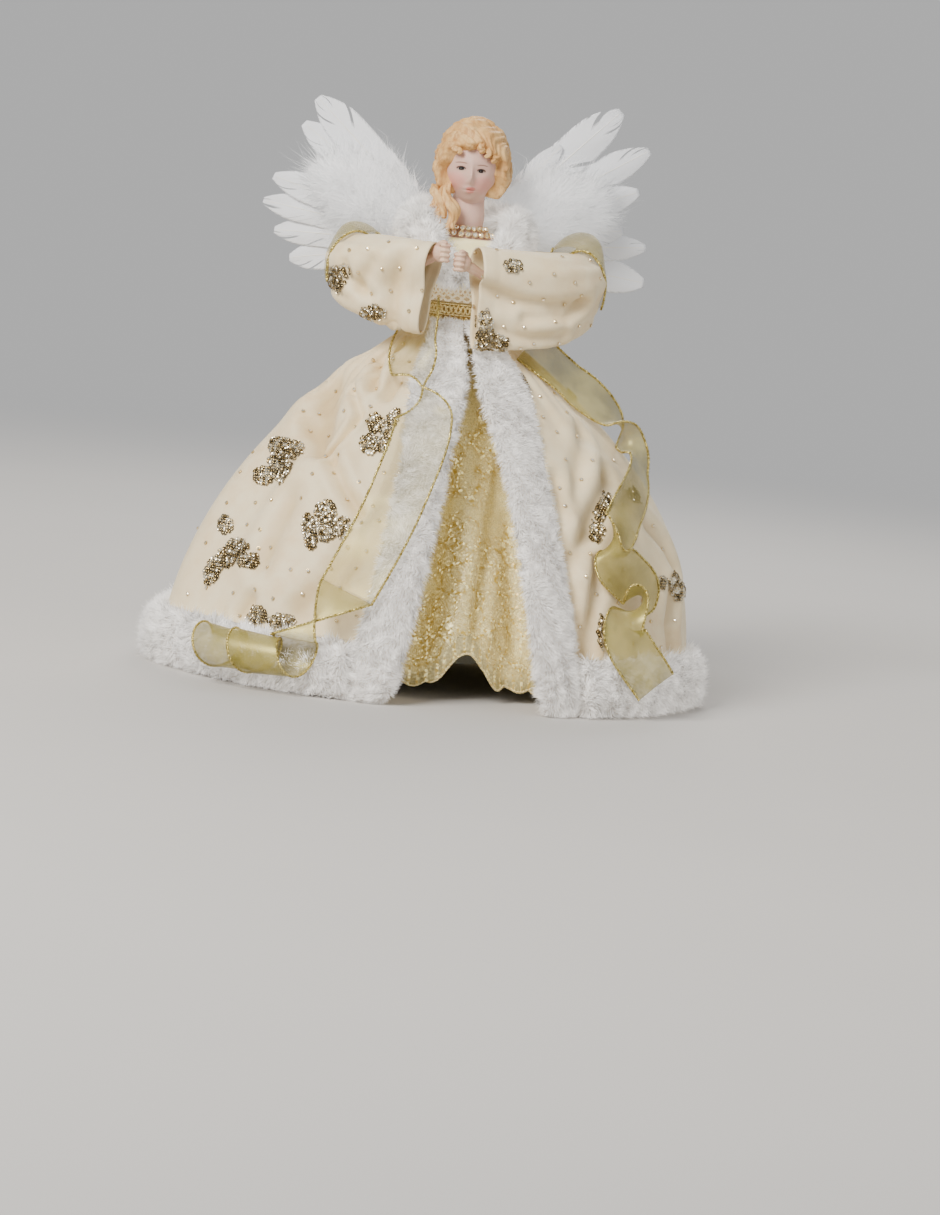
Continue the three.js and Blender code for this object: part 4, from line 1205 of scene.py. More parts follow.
def lay(roots, normals, upright, drop, seed, luck):
    """The ways of short hairs: upright by that share, else along the surface in swirls and downwards."""
    comb = sway(roots, 110, seed) + 0.8 * sway(roots, 380, seed + 1) + np.array((0, 0, -drop))
    comb = beside_way(comb, normals) * (1 - upright)
    return unit(normals * upright + comb + 0.2 * luck.normal(size=roots.shape))


def roll(name, sides, rings, place, node):
    """The closed, padded backing of a fur band: place has u round it and v along it."""
    made = grid(name, sides, rings, place)
    edit(made, *CLOSE)
    made.data.materials.append(fur_backing)
    smooth(made)
    stand_in(made, "figure", node)
    return made


print("pile maker ready")

# %% [markdown]
# ## Fur on the coat's front edges
# Two flat bands run from the waist to the floor. They meet just under the waist, and at the foot each is 36 mm wide.
# The pile is short and lies downwards in swirls.

# %% Front bands
BAND_HAIRS, HEM_HAIRS, COLLAR_HAIRS = 46000, 120000, 36000


def front_band(edge):
    def place(u, v):
        s = lerp(S_TOP + 0.004, 1, v ** 1.15)
        angle = edge(s)
        c = coat_point(angle, s, lerp(0.16, 0.03, smoothstep(s, 0, 0.1)) * 17 * MM)
        end = 1 - 0.4 * smoothstep(s, 0.93, 1) ** 2
        wide = (fur_half(s) * 0.88 + 5.2 * MM * (1 - smoothstep(s, 0.1, 0.4))) * end
        deep = lerp(2.2, 6.0, smoothstep(s, 0, 0.3)) * MM * end
        across = np.stack([np.cos(angle), np.sin(angle), 0 * angle], -1)
        out = around(angle, 1, 1, 0)
        return ellipse(c, across, out, wide, deep, TAU * u)
    return place


for number, (side, edge) in enumerate((("right", edge_right), ("left", edge_left))):
    luck = np.random.default_rng(40 + number)
    band = roll(f"fur_front_{side}_backing", 28, 60, front_band(edge), f"fur_front_{side}")
    roots, normals = scatter(band, BAND_HAIRS, luck)
    outer = (normals * unit(roots * (1, 1, 0))).sum(1) > -0.35
    roots, normals = roots[outer], normals[outer]
    lengths = luck.uniform(3.8, 6.8, len(roots)) * MM * lerp(0.55, 1, smoothstep(roots[:, 2], 0.24, 0.19))
    lengths *= tufts(roots, 31)
    pile(f"fur_front_{side}_pile", roots, normals, lay(roots, normals, 0.5, 0.8, 5, luck), lengths, 0.22 * MM,
         white_pile, "figure", luck)

# %% [markdown]
# ## Fur hem
# The hem is a thick roll with a longer, fluffier pile. Its foot is flat, because the figure stands on it, and no hair
# starts there. The pile is split in two pieces, which keeps each one light.

# %% Hem
HEM_BESIDE = (float(fur_half(1.0)) - 4 * MM) / HEM_FRONT
HEM_START = float(edge_left(1.0)) + HEM_BESIDE
HEM_END = TAU + float(edge_right(1.0)) - HEM_BESIDE


def hem_roll(u, v):
    angle = lerp(HEM_START, HEM_END, v)
    r = coat_radius(angle, S_ROLL)
    turn = TAU * u
    puff = 0.9 * MM * np.sin(34 * angle + 2 * np.sin(9 * angle))
    reach = r + (9.2 * MM + puff) * np.cos(turn)
    return around(angle, reach, reach, np.maximum(0.017 + (18.6 * MM + 0.6 * puff) * np.sin(turn), 0.5 * MM))


luck = np.random.default_rng(50)
hem = roll("fur_hem_backing", 26, 240, hem_roll, "fur_hem")
roots, normals = scatter(hem, HEM_HAIRS, luck)
inside = (normals * unit(roots * (1, 1, 0))).sum(1) < -0.55
keep = (roots[:, 2] > 1.5 * MM) & ~(inside & (luck.uniform(0, 1, len(roots)) < 0.6))
roots, normals = roots[keep], normals[keep]
ways = lay(roots, normals, 0.55, 0.45, 8, luck)
lengths = luck.uniform(4.6, 8.6, len(roots)) * MM * tufts(roots, 32)
for side, half in (("right", roots[:, 0] < 0), ("left", roots[:, 0] >= 0)):
    pile(f"fur_hem_{side}_pile", roots[half], normals[half], ways[half], lengths[half], 0.27 * MM,
         white_pile, "figure", luck)

# %% [markdown]
# ## Fur collar
# The collar is one long roll that starts on the chest, lies over both shoulders and passes behind the neck.

# %% Collar
collar_half = [(3.5, -29, 270), (12, -30, 276), (25, -27, 288), (34, -17, 304), (34, 4, 310), (18, 15, 313)]
collar_line = curve([(-x, y, z) for x, y, z in collar_half] + [(0, 18.5, 314)] + collar_half[::-1])


def collar_roll(u, v):
    c = collar_line(v)
    tangent = heading(collar_line, v)
    out = beside_way(c - np.array((0, 0, 0.286)), tangent)
    across = np.cross(tangent, out)
    middleness = 1 - np.abs(2 * v - 1)
    wide = lerp(6.5, 13, smoothstep(middleness, 0, 0.35)) - 4.5 * smoothstep(middleness, 0.6, 0.9) - 2.2
    deep = lerp(5, 7.5, smoothstep(middleness, 0, 0.35)) - 2
    close = MM * np.sqrt(smoothstep(middleness, -0.01, 0.05))
    return ellipse(c, across, out, close * wide, close * deep, TAU * u)


luck = np.random.default_rng(60)
collar = roll("fur_collar_backing", 26, 120, collar_roll, "fur_collar")
roots, normals = scatter(collar, COLLAR_HAIRS, luck)
ways = lay(roots, normals, 0.55, 0.35, 12, luck)
lengths = luck.uniform(5.0, 9.5, len(roots)) * MM * tufts(roots, 33)
pile("fur_collar_pile", roots, normals, ways, lengths, 0.25 * MM, white_pile, "figure", luck)

# %% [markdown]
# ## Head
# The head, neck and shoulders are one casting of painted bisque. A sphere primitive gets the CAD model's head
# formula with finer features, a tapered tube gives the neck, and a voxel remesh melts the two into one skin.

# %% Head
HEAD_MID = MM * np.array((0, -4, 347))
HEAD_SIZE = np.array((19.5, 21, 27))
FACE_LEAN = (-0.165, -0.1)


def ball(name, wide, tall, place):
    """A sphere primitive whose points move to place(direction)."""
    deselect()
    bpy.ops.mesh.primitive_uv_sphere_add(segments=wide, ring_count=tall, radius=1)
    piece = bpy.context.object
    piece.name = name
    set_points(piece, place(unit(points_of(piece))))
    return piece


def hump(x, z, x0, z0, wide, tall):
    return np.exp(-(((x - x0) / wide) ** 2) - ((z - z0) / tall) ** 2)


def pair(x, z, x0, z0, wide, tall):
    return hump(x, z, -x0, z0, wide, tall) + hump(x, z, x0, z0, wide, tall)


def head_point(d, grow=0.0, fine=0.0):
    """The head's surface in a direction; fine adds the lids, nostrils and mouth, and turns the face to its right."""
    jaw = smoothstep(-d[:, 2], 0.1, 1)
    p = HEAD_SIZE * d * np.stack([1 - 0.26 * jaw, 1 - 0.12 * jaw, 1 + 0 * jaw], 1)
    x = p[:, 0] / HEAD_SIZE[0] - fine * FACE_LEAN[0]
    z = p[:, 2] / HEAD_SIZE[2] - fine * FACE_LEAN[1]
    relief = 0.15 * hump(x, z, 0, -0.24, 0.13, 0.17) + 0.05 * hump(x, z, 0, 0.15, 0.7, 0.16)
    relief += 0.06 * hump(x, z, 0, -0.5, 0.22, 0.1) + 0.09 * hump(x, z, 0, -0.82, 0.3, 0.17)
    relief += 0.05 * pair(x, z, 0.45, -0.35, 0.25, 0.25) - 0.07 * pair(x, z, 0.34, 0, 0.2, 0.13)
    relief += fine * (0.08 * hump(x, z, 0, -0.12, 0.08, 0.2) + 0.045 * pair(x, z, 0.34, 0.02, 0.15, 0.07))
    relief += fine * (0.03 * pair(x, z, 0.1, -0.32, 0.06, 0.05) - 0.04 * hump(x, z, 0, -0.515, 0.2, 0.018))
    relief += fine * (0.035 * hump(x, z, 0, -0.47, 0.16, 0.04) + 0.04 * hump(x, z, 0, -0.565, 0.13, 0.045))
    p[:, 1] -= HEAD_SIZE[1] * smoothstep(-d[:, 1], 0.2, 0.7) * relief
    return MM * (p + np.reshape(grow, (-1, 1)) * d) + HEAD_MID


def neck(u, v):
    z = lerp(0.2904, 0.327, v)
    rx, ry = figure(z, 1.6 * MM * smoothstep(z, 0.3, 0.315))
    return around(TAU * u, rx, ry, z)


head = ball("head_casting", 160, 120, lambda d: head_point(d, fine=1.0))
stem = grid("neck", 64, 40, neck)
edit(stem, *CLOSE)
only(head)
stem.select_set(True)
bpy.ops.object.join()
apply(head, "REMESH", mode="VOXEL", voxel_size=0.38 * MM)
apply(head, "SMOOTH", factor=0.5, iterations=3)
apply(head, "DECIMATE", ratio=0.5)
smooth(head)
stand_in(head, "figure", "head_bust")
print("head:", len(head.data.polygons), "faces")

# %% [markdown]
# ## Painted face
# The eyes, brows, cheeks and lips are painted on. Each one is a soft oval in the head's own coordinates. The centres
# are rays through the picture that meet the head, so the paint lies where the picture has it.

# %% Face paint
def on_head(x, y):
    return [float(c) for c in ray_hit(head, x, y)[0]]


right_eye, left_eye, mouth = on_head(461.5, 168.5), on_head(481, 171.5), on_head(470.5, 190)
TILT = math.atan2(left_eye[2] - right_eye[2], left_eye[0] - right_eye[0])
print("eyes at", [round(c * 1000, 1) for c in right_eye], [round(c * 1000, 1) for c in left_eye])


def oval(place, centre, wide, tall, soft=0.25):
    """1 inside an oval round a centre on the face, 0 outside."""
    x = (place.axis(0) - centre[0]) / (wide * MM)
    z = (place.axis(2) - centre[2]) / (tall * MM)
    return (x * x + z * z).step(1 + soft, 1 - soft)


def moved(centre, x, z):
    """A centre moved along the tilted line of the eyes and across it, in millimetres."""
    c, s = math.cos(TILT), math.sin(TILT)
    return (centre[0] + MM * (x * c - z * s), 0, centre[2] + MM * (x * s + z * c))


@finish
def painted_bisque(w):
    place = w.place()
    front = place.axis(1).step(-0.013, -0.017)
    skin = place.noise(60, 3).mix(srgb(203, 165, 149), srgb(214, 179, 164))
    for centre in (moved(right_eye, -2.5, -8.5), moved(left_eye, 3.0, -8.5)):
        skin = (oval(place, centre, 6, 5.5, 0.95) * 0.55).mix(skin, srgb(224, 148, 138))
    for z, wide, tall, soft, strength, colour in (
            (0.85, 3.1, 1.2, 0.5, 0.85, srgb(206, 118, 110)),
            (-0.9, 2.6, 1.35, 0.5, 0.85, srgb(218, 138, 128)),
            (-0.05, 3.0, 0.24, 0.6, 0.8, srgb(140, 62, 60))):
        skin = (oval(place, moved(mouth, 0, z), wide, tall, soft) * front * strength).mix(skin, colour)
    for spot, way in ((right_eye, -1), (left_eye, 1)):
        # The first, soft brownish oval round each eye is painted shade in the eye's hollow; the ovals after it are
        # the doll's own paint.
        socket_shade = oval(place, moved(spot, way * 0.3, 0.6), 3.6, 2.6, 0.9)
        lid = oval(place, moved(spot, way * 0.25, 0.35), 3.0, 1.4, 0.25)
        white = oval(place, moved(spot, way * 0.1, -0.3), 2.4, 0.95, 0.3)
        iris = oval(place, moved(spot, 0.0, 0.0), 1.75, 1.5, 0.25)
        glint = oval(place, moved(spot, -0.35, 0.15), 0.3, 0.26, 0.4)
        brow = oval(place, moved(spot, way * 0.6, 3.7), 3.5, 0.75, 0.6)
        under_brow = oval(place, moved(spot, way * 0.6, 3.0), 3.4, 0.75, 0.5)
        for shape, strength, colour in (
                (socket_shade, 0.22, srgb(190, 136, 122)), (brow * (1 - under_brow), 0.8, srgb(120, 84, 66)),
                (lid, 0.92, srgb(60, 40, 36)), (white, 0.9, srgb(188, 168, 158)),
                (iris * lid, 1.0, srgb(22, 15, 16)), (glint, 0.15, srgb(240, 240, 240))):
            skin = (shape * front * strength).mix(skin, colour)
    return {
        "Base Color": skin,
        "Roughness": 0.48 + place.noise(300, 2) * 0.1,
        "Subsurface Weight": 0.08,
        "Subsurface Scale": 1.5 * MM,
        "Specular IOR Level": 0.35,
        "Normal": place.noise(1200, 2).bump(0.08, 0.15 * MM),
    }


head.data.materials.append(painted_bisque)

# %% [markdown]
# ## Hair
# The hair is moulded: a thick cap of carved waves, curls over the brow and a bunch of ringlets on the right
# shoulder. The cap is the head's sphere pushed outwards, with waves cut into it. Each curl is a tapered tube
# whose ridges turn along it.

# %% Hair
@finish
def moulded_blond(w):
    place = w.place()
    strand = place.stretch(1, 1, 0.3).noise(300, 3, 0.6)
    shade = place.noise(90, 2).step(0.35, 0.65)
    tone = shade.mix(srgb(208, 162, 100), srgb(226, 186, 126))
    return {
        "Base Color": (strand.step(0.3, 0.6)).mix(srgb(184, 134, 80), tone),
        "Roughness": 0.55,
        "Specular IOR Level": 0.3,
        "Normal": strand.bump(0.3, 0.4 * MM),
    }


# The oval that the hair leaves free, in millimetres: its middle and its half sizes
FACE_X, FACE_Z = -1.8, 342
FACE_SIDE, FACE_TOP, FACE_CHIN = 15.6, 15.4, 19.4


def hair_point(d):
    """The cap's surface in a direction: sunk inside the face's oval, carved in waves outside it."""
    p = head_point(d) / MM
    tall = np.where(p[:, 2] > FACE_Z, FACE_TOP, FACE_CHIN)
    face = np.hypot((p[:, 0] - FACE_X) / FACE_SIDE, (p[:, 2] - FACE_Z) / tall) + smoothstep(d[:, 1], -0.4, 0)
    turn = np.arctan2(d[:, 0], -d[:, 1])
    round_face = np.arctan2(p[:, 0], p[:, 2] - FACE_Z)
    hairline = 0.95 + 0.05 * np.sin(7 * round_face + 0.6)
    rear = smoothstep(d[:, 1], 0.1, 0.6)
    cover = smoothstep(face + rear, hairline, hairline + 0.17) * smoothstep(d[:, 2], -0.8, -0.55)
    level = np.sqrt(np.maximum(1 - d[:, 2] ** 2, 0))
    wave = 0.4 * np.sin(7 * turn + 2.2 * np.sin(5 * d[:, 2])) * level
    swing = 1.15 * np.sin(5 * face + 1.3 * np.sin(3 * round_face)) + 1.3 * face
    carved = np.abs(np.sin(6.5 * round_face + swing)) ** 0.8
    strands = 0.4 * np.sin(39 * round_face + 6 * swing)
    fall = 1.4 * np.sin(5 * d[:, 2])
    carved = lerp(carved, np.abs(np.sin(5.5 * turn + fall)) ** 0.8, rear)
    strands = lerp(strands, 0.4 * np.sin(33 * turn + 6 * fall), rear)
    ridges = (1.9 * carved + strands) * lerp(0.5, 1, level) - 0.8
    locks = 0.9 * smoothstep(face, 1.0, 1.08) * (1 - smoothstep(face + rear, 1.15, 1.5))
    side = 1.2 * np.abs(d[:, 0]) * smoothstep(-d[:, 2], -0.4, 0.4)
    band = -0.7 * np.exp(-(((d[:, 2] - 0.86) / 0.02) ** 2))
    return head_point(d, lerp(-3, 5.5 + wave + ridges + locks + side + band, cover))


hair = ball("hair_cap", 220, 150, hair_point)
hair.data.materials.append(moulded_blond)
smooth(hair)
stand_in(hair, "figure", "moulded_hair")
print("hair:", len(hair.data.polygons), "faces in the cap")

# %% Locks
LOCK_RINGS, LOCK_SIDES = 46, 20
CAP_SIZE, CAP_Y, CAP_Z = (24, 25.5, 32), -4, 347


def curl_tube(points, thick, twist, phase):
    """A lock of hair: a tapered tube of four ridges that turn along it."""
    t = np.linspace(0, 1, LOCK_RINGS)
    taper = thick * MM * np.sin(math.pi * np.clip(0.06 + 0.92 * t, 0, 1)) ** 0.35 * lerp(1, 0.8, t)
    ridge = 1 + 0.2 * np.cos(4 * (ring_turns(LOCK_SIDES)[None] + twist * t[:, None] + phase))
    return tube(curve(points)(t), taper[:, None] * ridge, LOCK_SIDES)


def coil(start, end, radius, turns, phase):
    """The line of a hanging ringlet, in millimetres."""
    t = np.linspace(0, 1, 14)[:, None]
    line = lerp(np.array(start, float), np.array(end, float), t)
    swing = TAU * turns * t + phase
    return line + radius * np.hstack([np.cos(swing), 0.6 * np.sin(swing), 0 * t])


def brow_curl(angle, length, phase):
    """A small curl that starts on the cap above the face and hangs over its edge."""
    line = []
    for k, reach in enumerate(np.linspace(1.34, 1.34 - length, 5)):
        x = FACE_SIDE * reach * math.sin(angle) + FACE_X
        z = FACE_Z + FACE_TOP * reach * math.cos(angle)
        cap = max(1 - (x / CAP_SIZE[0]) ** 2 - ((z - CAP_Z) / CAP_SIZE[2]) ** 2, 0.02)
        line.append((x + math.sin(2.2 * k + phase), CAP_Y - CAP_SIZE[1] * math.sqrt(cap), z))
    return curl_tube(line, 2.4, 2, phase)


def locks(name, tubes):
    made = piece_from(name, *gather(tubes), moulded_blond)
    edit(made, *CLOSE)
    smooth(made)
    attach(made, "figure")
    print(name, len(made.data.polygons), "faces")


locks("hair_ringlets", [
    curl_tube(coil((-17, -8, 336), (-21, -21, 310), 3.0, 1.0, 0.0), 3.8, 3, 0),
    curl_tube(coil((-15, -12, 333), (-14, -25, 303), 2.8, 1.1, 1.6), 3.6, 3, 1),
    curl_tube(coil((-22, -7, 331), (-27, -18, 316), 2.6, 0.8, 3.0), 3.5, 3, 2),
    curl_tube(coil((-14, -15, 324), (-9.5, -25, 304), 2.4, 0.9, 4.2), 3.0, 3, 0.5),
    curl_tube(coil((-21, -11, 326), (-20, -26, 306), 2.4, 0.9, 5.0), 3.2, 3, 1.5),
])
locks("hair_brow_curls", [brow_curl(*shape) for shape in (
    (-0.7, 0.36, 2.6), (-0.25, 0.3, 0.4), (0.2, 0.44, 1.2), (0.55, 0.5, 1.9), (0.9, 0.46, 0.6))])

# %% [markdown]
# ## Hands
# The hands are small castings. A copy of each CAD hand is merged, remeshed with fine voxels and smoothed,
# which rounds the fingers like a casting that was tumbled.

# %% Hands
@finish
def hand_bisque(w):
    place = w.place()
    blush = place.noise(160, 3).step(0.35, 0.7)
    return {
        "Base Color": blush.mix(srgb(222, 188, 160), srgb(214, 172, 146)),
        "Roughness": 0.55,
        "Subsurface Weight": 0.05,
        "Subsurface Scale": 1.5 * MM,
        "Normal": place.noise(900, 2).bump(0.1, 0.2 * MM),
    }


PALMS = {"right": MM * np.array((-22.5, -58, 288)), "left": MM * np.array((-7, -58, 283))}
PALM_REACH = 11 * MM
for side, palm in PALMS.items():
    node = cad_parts[f"{side}_hand"]
    hand = bpy.data.objects.new(f"{side}_hand_casting", node.data.copy())
    bpy.context.scene.collection.objects.link(hand)
    edit(hand, MERGE)
    apply(hand, "REMESH", mode="VOXEL", voxel_size=0.3 * MM)
    apply(hand, "SMOOTH", factor=0.5, iterations=10)
    apply(hand, "DECIMATE", ratio=0.45)
    spots = points_of(hand)
    near = np.exp(-((np.linalg.norm(spots - palm, axis=1) / PALM_REACH) ** 4))[:, None]
    set_points(hand, palm + (spots - palm) * (1 + 0.2 * near))
    hand.data.materials.clear()
    hand.data.materials.append(hand_bisque)
    smooth(hand)
    stand_in(hand, f"{side}_arm", f"{side}_hand")
    print(hand.name, len(hand.data.polygons), "faces")

# %% [markdown]
# ## Feathers
# Each wing has seven goose feathers. A feather is a thin vane with a quill along its middle, a little hollow on one
# side, and its barbs split here and there. The vane is a grid, and the splits are cut by the Alpha socket along
# the slanted barbs. The UV map holds the feather's number, so no two feathers split alike.

# %% Feather finishes
@finish
def white_feather(w):
    uv = w.uv()
    number = uv.axis(0).math("FLOOR", uv.axis(0))
    across = (uv.axis(0) - number - 0.5).size() * 2
    barb = uv.axis(1) - across * 0.16
    fine = (barb * 900).sine()
    half = (uv.axis(0) - number).step(0.45, 0.55)
    spot = w.node("CombineXYZ", inputs={0: number * 7.3, 1: barb * 9, 2: half * 3})
    split = spot.noise(2.2, 1).step(0.62, 0.64) * across.step(0.25, 0.5)
    fray = spot.noise(14, 1).step(0.55, 0.6) * across.step(0.86, 0.96)
    tone = (fine * 0.5 + 0.5).mix(srgb(232, 234, 238), srgb(246, 247, 249))
    return {
        "Base Color": tone,
        "Roughness": 0.6,
        "Sheen Weight": 0.2,
        "Alpha": 1 - split.math("MAXIMUM", split, fray),
        "Normal": (fine * 0.5 + spot.noise(20, 2)).bump(0.4, 0.3 * MM),
    }


@finish
def feather_quill(w):
    place = w.place()
    return {
        "Base Color": place.noise(200, 2).mix(srgb(238, 234, 224), srgb(248, 246, 240)),
        "Roughness": 0.35,
        "Coat Weight": 0.2,
    }


@finish
def white_down(w):
    uv = w.uv()
    # The Emission Color is painted light: a glow that is grey at the root of each hair and white at its tip.
    return {
        "Base Color": uv.axis(0).mix(srgb(238, 238, 238), srgb(252, 251, 250)),
        "Roughness": 0.85 - uv.axis(1) * 0.1,
        "Emission Color": uv.axis(1).mix(srgb(190, 190, 190), srgb(255, 255, 255)),
        "Emission Strength": 0.55,
        "Sheen Weight": 0.4,
        "Specular IOR Level": 0.2,
    }


print("feather finishes ready")

# %% [markdown]
# ## Wings
# The feathers fan out from a felt pad behind the shoulder. They are stacked one behind the other, and bow a little to
# the rear. Each wing is made flat about its hinge and then turned and moved to its place, as the CAD model does.

# %% Wing frame
WING_ROOT, WING_TURN = (6, 24.3, 288), math.radians(6)


def wing_place(sign, points):
    """From a wing's own millimetres to the figure's frame."""
    a = sign * WING_TURN
    c, s = math.cos(a), math.sin(a)
    x, y, z = np.moveaxis(np.asarray(points, float), -1, 0)
    rx, ry, rz = WING_ROOT
    return MM * np.stack([sign * rx + x * c - y * s, ry + x * s + y * c, rz + z], -1)


def bow(along):
    return 0.00045 * along * along


def feather(sign, length, width, degrees, y, start):
    """The vane as a function of u across and v along, in the wing's own millimetres."""
    direction = math.radians(degrees)

    def place(u, v):
        along = start + (length - start) * v
        vane = smoothstep(v, 0.16, 0.36) * np.sqrt(np.maximum(1 - smoothstep(v, 0.72, 1.03) ** 2, 0))
        half = np.maximum(width / 2 * vane, lerp(0.7, 0.2, v))
        side = 2 * u - 1
        across = half * side - 6 * v * v
        wavy = 0.35 * np.sin(9 * v + 3 * side + degrees) * vane
        deep = 1.1 * side * side * vane + wavy - 0.3
        return np.stack([
            sign * (along * math.cos(direction) - across * math.sin(direction)),
            y + bow(along) + deep,
            along * math.sin(direction) + across * math.cos(direction),
        ], -1)
    return place


print("left wing's root:", wing_place(1, (0, 0, 0)).round(4).tolist())

# %% Felt
@finish
def white_felt(w):
    place = w.place()
    fibre = place.noise(700, 4, 0.7)
    return {
        "Base Color": fibre.mix(srgb(226, 222, 214), srgb(244, 241, 235)),
        "Roughness": 0.95,
        "Sheen Weight": 0.4,
        "Normal": fibre.bump(0.6, 0.5 * MM),
    }


def felt_pad(name, shape, body, node, stitch_line):
    """A felt piece with rounded edges and a row of stitches near its rim."""
    piece = shape()
    piece.name = name
    bpy.ops.object.transform_apply(location=True, rotation=True, scale=True)
    apply(piece, "BEVEL", width=0.7 * MM, segments=3, limit_method="ANGLE")
    smooth(piece)
    piece.data.materials.append(white_felt)
    stand_in(piece, body, node)
    dashes = [line for k, line in enumerate(np.array_split(stitch_line, 40)) if k % 2 == 0]
    thread = gather([tube(d, 0.25 * MM, 6) for d in dashes])
    sewn = piece_from(f"{name}_stitches", *thread, champagne_satin)
    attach(sewn, body)
    print(name, len(dashes), "stitches")


def patch_shape():
    deselect()
    bpy.ops.mesh.primitive_cube_add(size=1, location=(0, 0.0224, 0.288), scale=(0.026, 0.003, 0.022))
    return bpy.context.object


RIM = np.linspace(0, TAU, 241)
square = np.stack([np.cos(RIM), np.sin(RIM)], 1)
square /= np.abs(square).max(1, keepdims=True)
edge_line = np.stack([0.0112 * square[:, 0], np.full_like(RIM, 0.0209), 0.288 + 0.0092 * square[:, 1]], 1)
felt_pad("wing_patch_felt", patch_shape, "figure", "wing_patch", edge_line)

# %% Feather fans
FEATHERS = {
    "right": ([46, 38, 28, 20, 12, 4, -5], [0.99, 0.95, 0.8, 0.94, 0.95, 0.87, 0.79],
              [1, 0.86, 0.76, 0.8, 0.74, 0.74, 0.8]),
    "left": ([56, 48.5, 35.5, 26.5, 16, 9.5, -1], [0.72, 1.07, 1.09, 0.96, 0.84, 0.96, 0.97],
             [0.6, 1.05, 0.86, 0.8, 0.8, 0.74, 0.9]),
}
FEATHER_COUNT = 7
FEATHER_LONG, FEATHER_WIDE, FEATHER_STEP = 138, 23, 1.9
VANE_Y, BARB_Y = 6.45, 1.4


def plume(side, sign, i, wider, y):
    """Feather i of a wing as a surface; y is how far behind the hinge the first one lies."""
    degrees, length, width = (column[i] for column in FEATHERS[side])
    wide = FEATHER_WIDE * width * wider
    return feather(sign, FEATHER_LONG * length, wide, degrees, y + FEATHER_STEP * i, 4 + 1.2 * i)


def fan(side, sign):
    for i in range(FEATHER_COUNT):
        name = f"{side}_feather_{i + 1}"
        shape = plume(side, sign, i, 1.12, VANE_Y)
        vane = grid(f"{name}_vane", 16, 60, lambda u, v: wing_place(sign, shape(u, v)))
        number = 2 * i + (0 if side == "right" else 20)
        scale_uv(vane, (0.998, 1), (number + 0.001, 0))
        apply(vane, "SOLIDIFY", thickness=0.25 * MM, offset=0)
        vane.data.materials.append(white_feather)
        smooth(vane)
        stand_in(vane, f"{side}_wing", name)
        t = np.linspace(0, 0.985, 50)
        line = wing_place(sign, shape(np.full_like(t, 0.5), t))
        quill = piece_from(f"{name}_quill", *tube(line, MM * lerp(0.85, 0.25, t[:, None]), 8), feather_quill)
        smooth(quill)
        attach(quill, f"{side}_wing")


print("feathers on each wing:", FEATHER_COUNT)

# %% Wing pads
PAD_X = 17.5


def wing_pad(side, sign):
    def shape():
        deselect()
        bpy.ops.mesh.primitive_cylinder_add(vertices=64, radius=11 * MM, depth=3 * MM, rotation=(math.pi / 2, 0, 0))
        piece = bpy.context.object
        bpy.ops.object.transform_apply(location=True, rotation=True, scale=True)
        set_points(piece, wing_place(sign, points_of(piece) / MM * (1.5, 1, 1) + (sign * PAD_X, 1.5, 0)))
        return piece

    rim = np.stack([sign * PAD_X + 14.6 * np.cos(RIM), 0 * RIM + 3.0, 9.4 * np.sin(RIM)], 1)
    felt_pad(f"{side}_wing_pad_felt", shape, f"{side}_wing", f"{side}_wing_pad", wing_place(sign, rim))


print("pads sit", PAD_X, "mm from the hinge")

# %% Down
FLUFF, BARBS, WISPS = 23000, 7500, 3850


def down_mound(sign, share):
    def place(u, v):
        out = lerp(27, 92, v)
        middle = lerp(20, 40, v)
        arch = np.sqrt(np.maximum(1 - (2 * v - 1) ** 2, 0.0004)) * share
        turn = TAU * u
        z = middle + 30 * arch * np.cos(turn)
        y = 5.2 + bow(np.hypot(out, z)) - 15 * arch * np.maximum(np.sin(turn), -0.02)
        return wing_place(sign, np.stack([sign * out, y, z], -1))
    return place


def barb_roots(side, sign, luck):
    """Roots on the feathers and the ways along them, so that the down has no outline of its own."""
    spread = luck.beta(1.6, 2.2, BARBS)
    rows = luck.integers(0, FEATHER_COUNT, BARBS)
    roots = np.empty((BARBS, 3))
    heads = np.empty((BARBS, 3))
    for i in range(FEATHER_COUNT):
        mine = rows == i
        shape = plume(side, sign, i, 1, BARB_Y)
        across = luck.uniform(0, 1, mine.sum())
        along = lerp(0.16, 0.62, spread[mine])
        roots[mine] = wing_place(sign, shape(across, along))
        heads[mine] = unit(wing_place(sign, shape(across, along + 0.05)) - roots[mine])
    return roots, heads


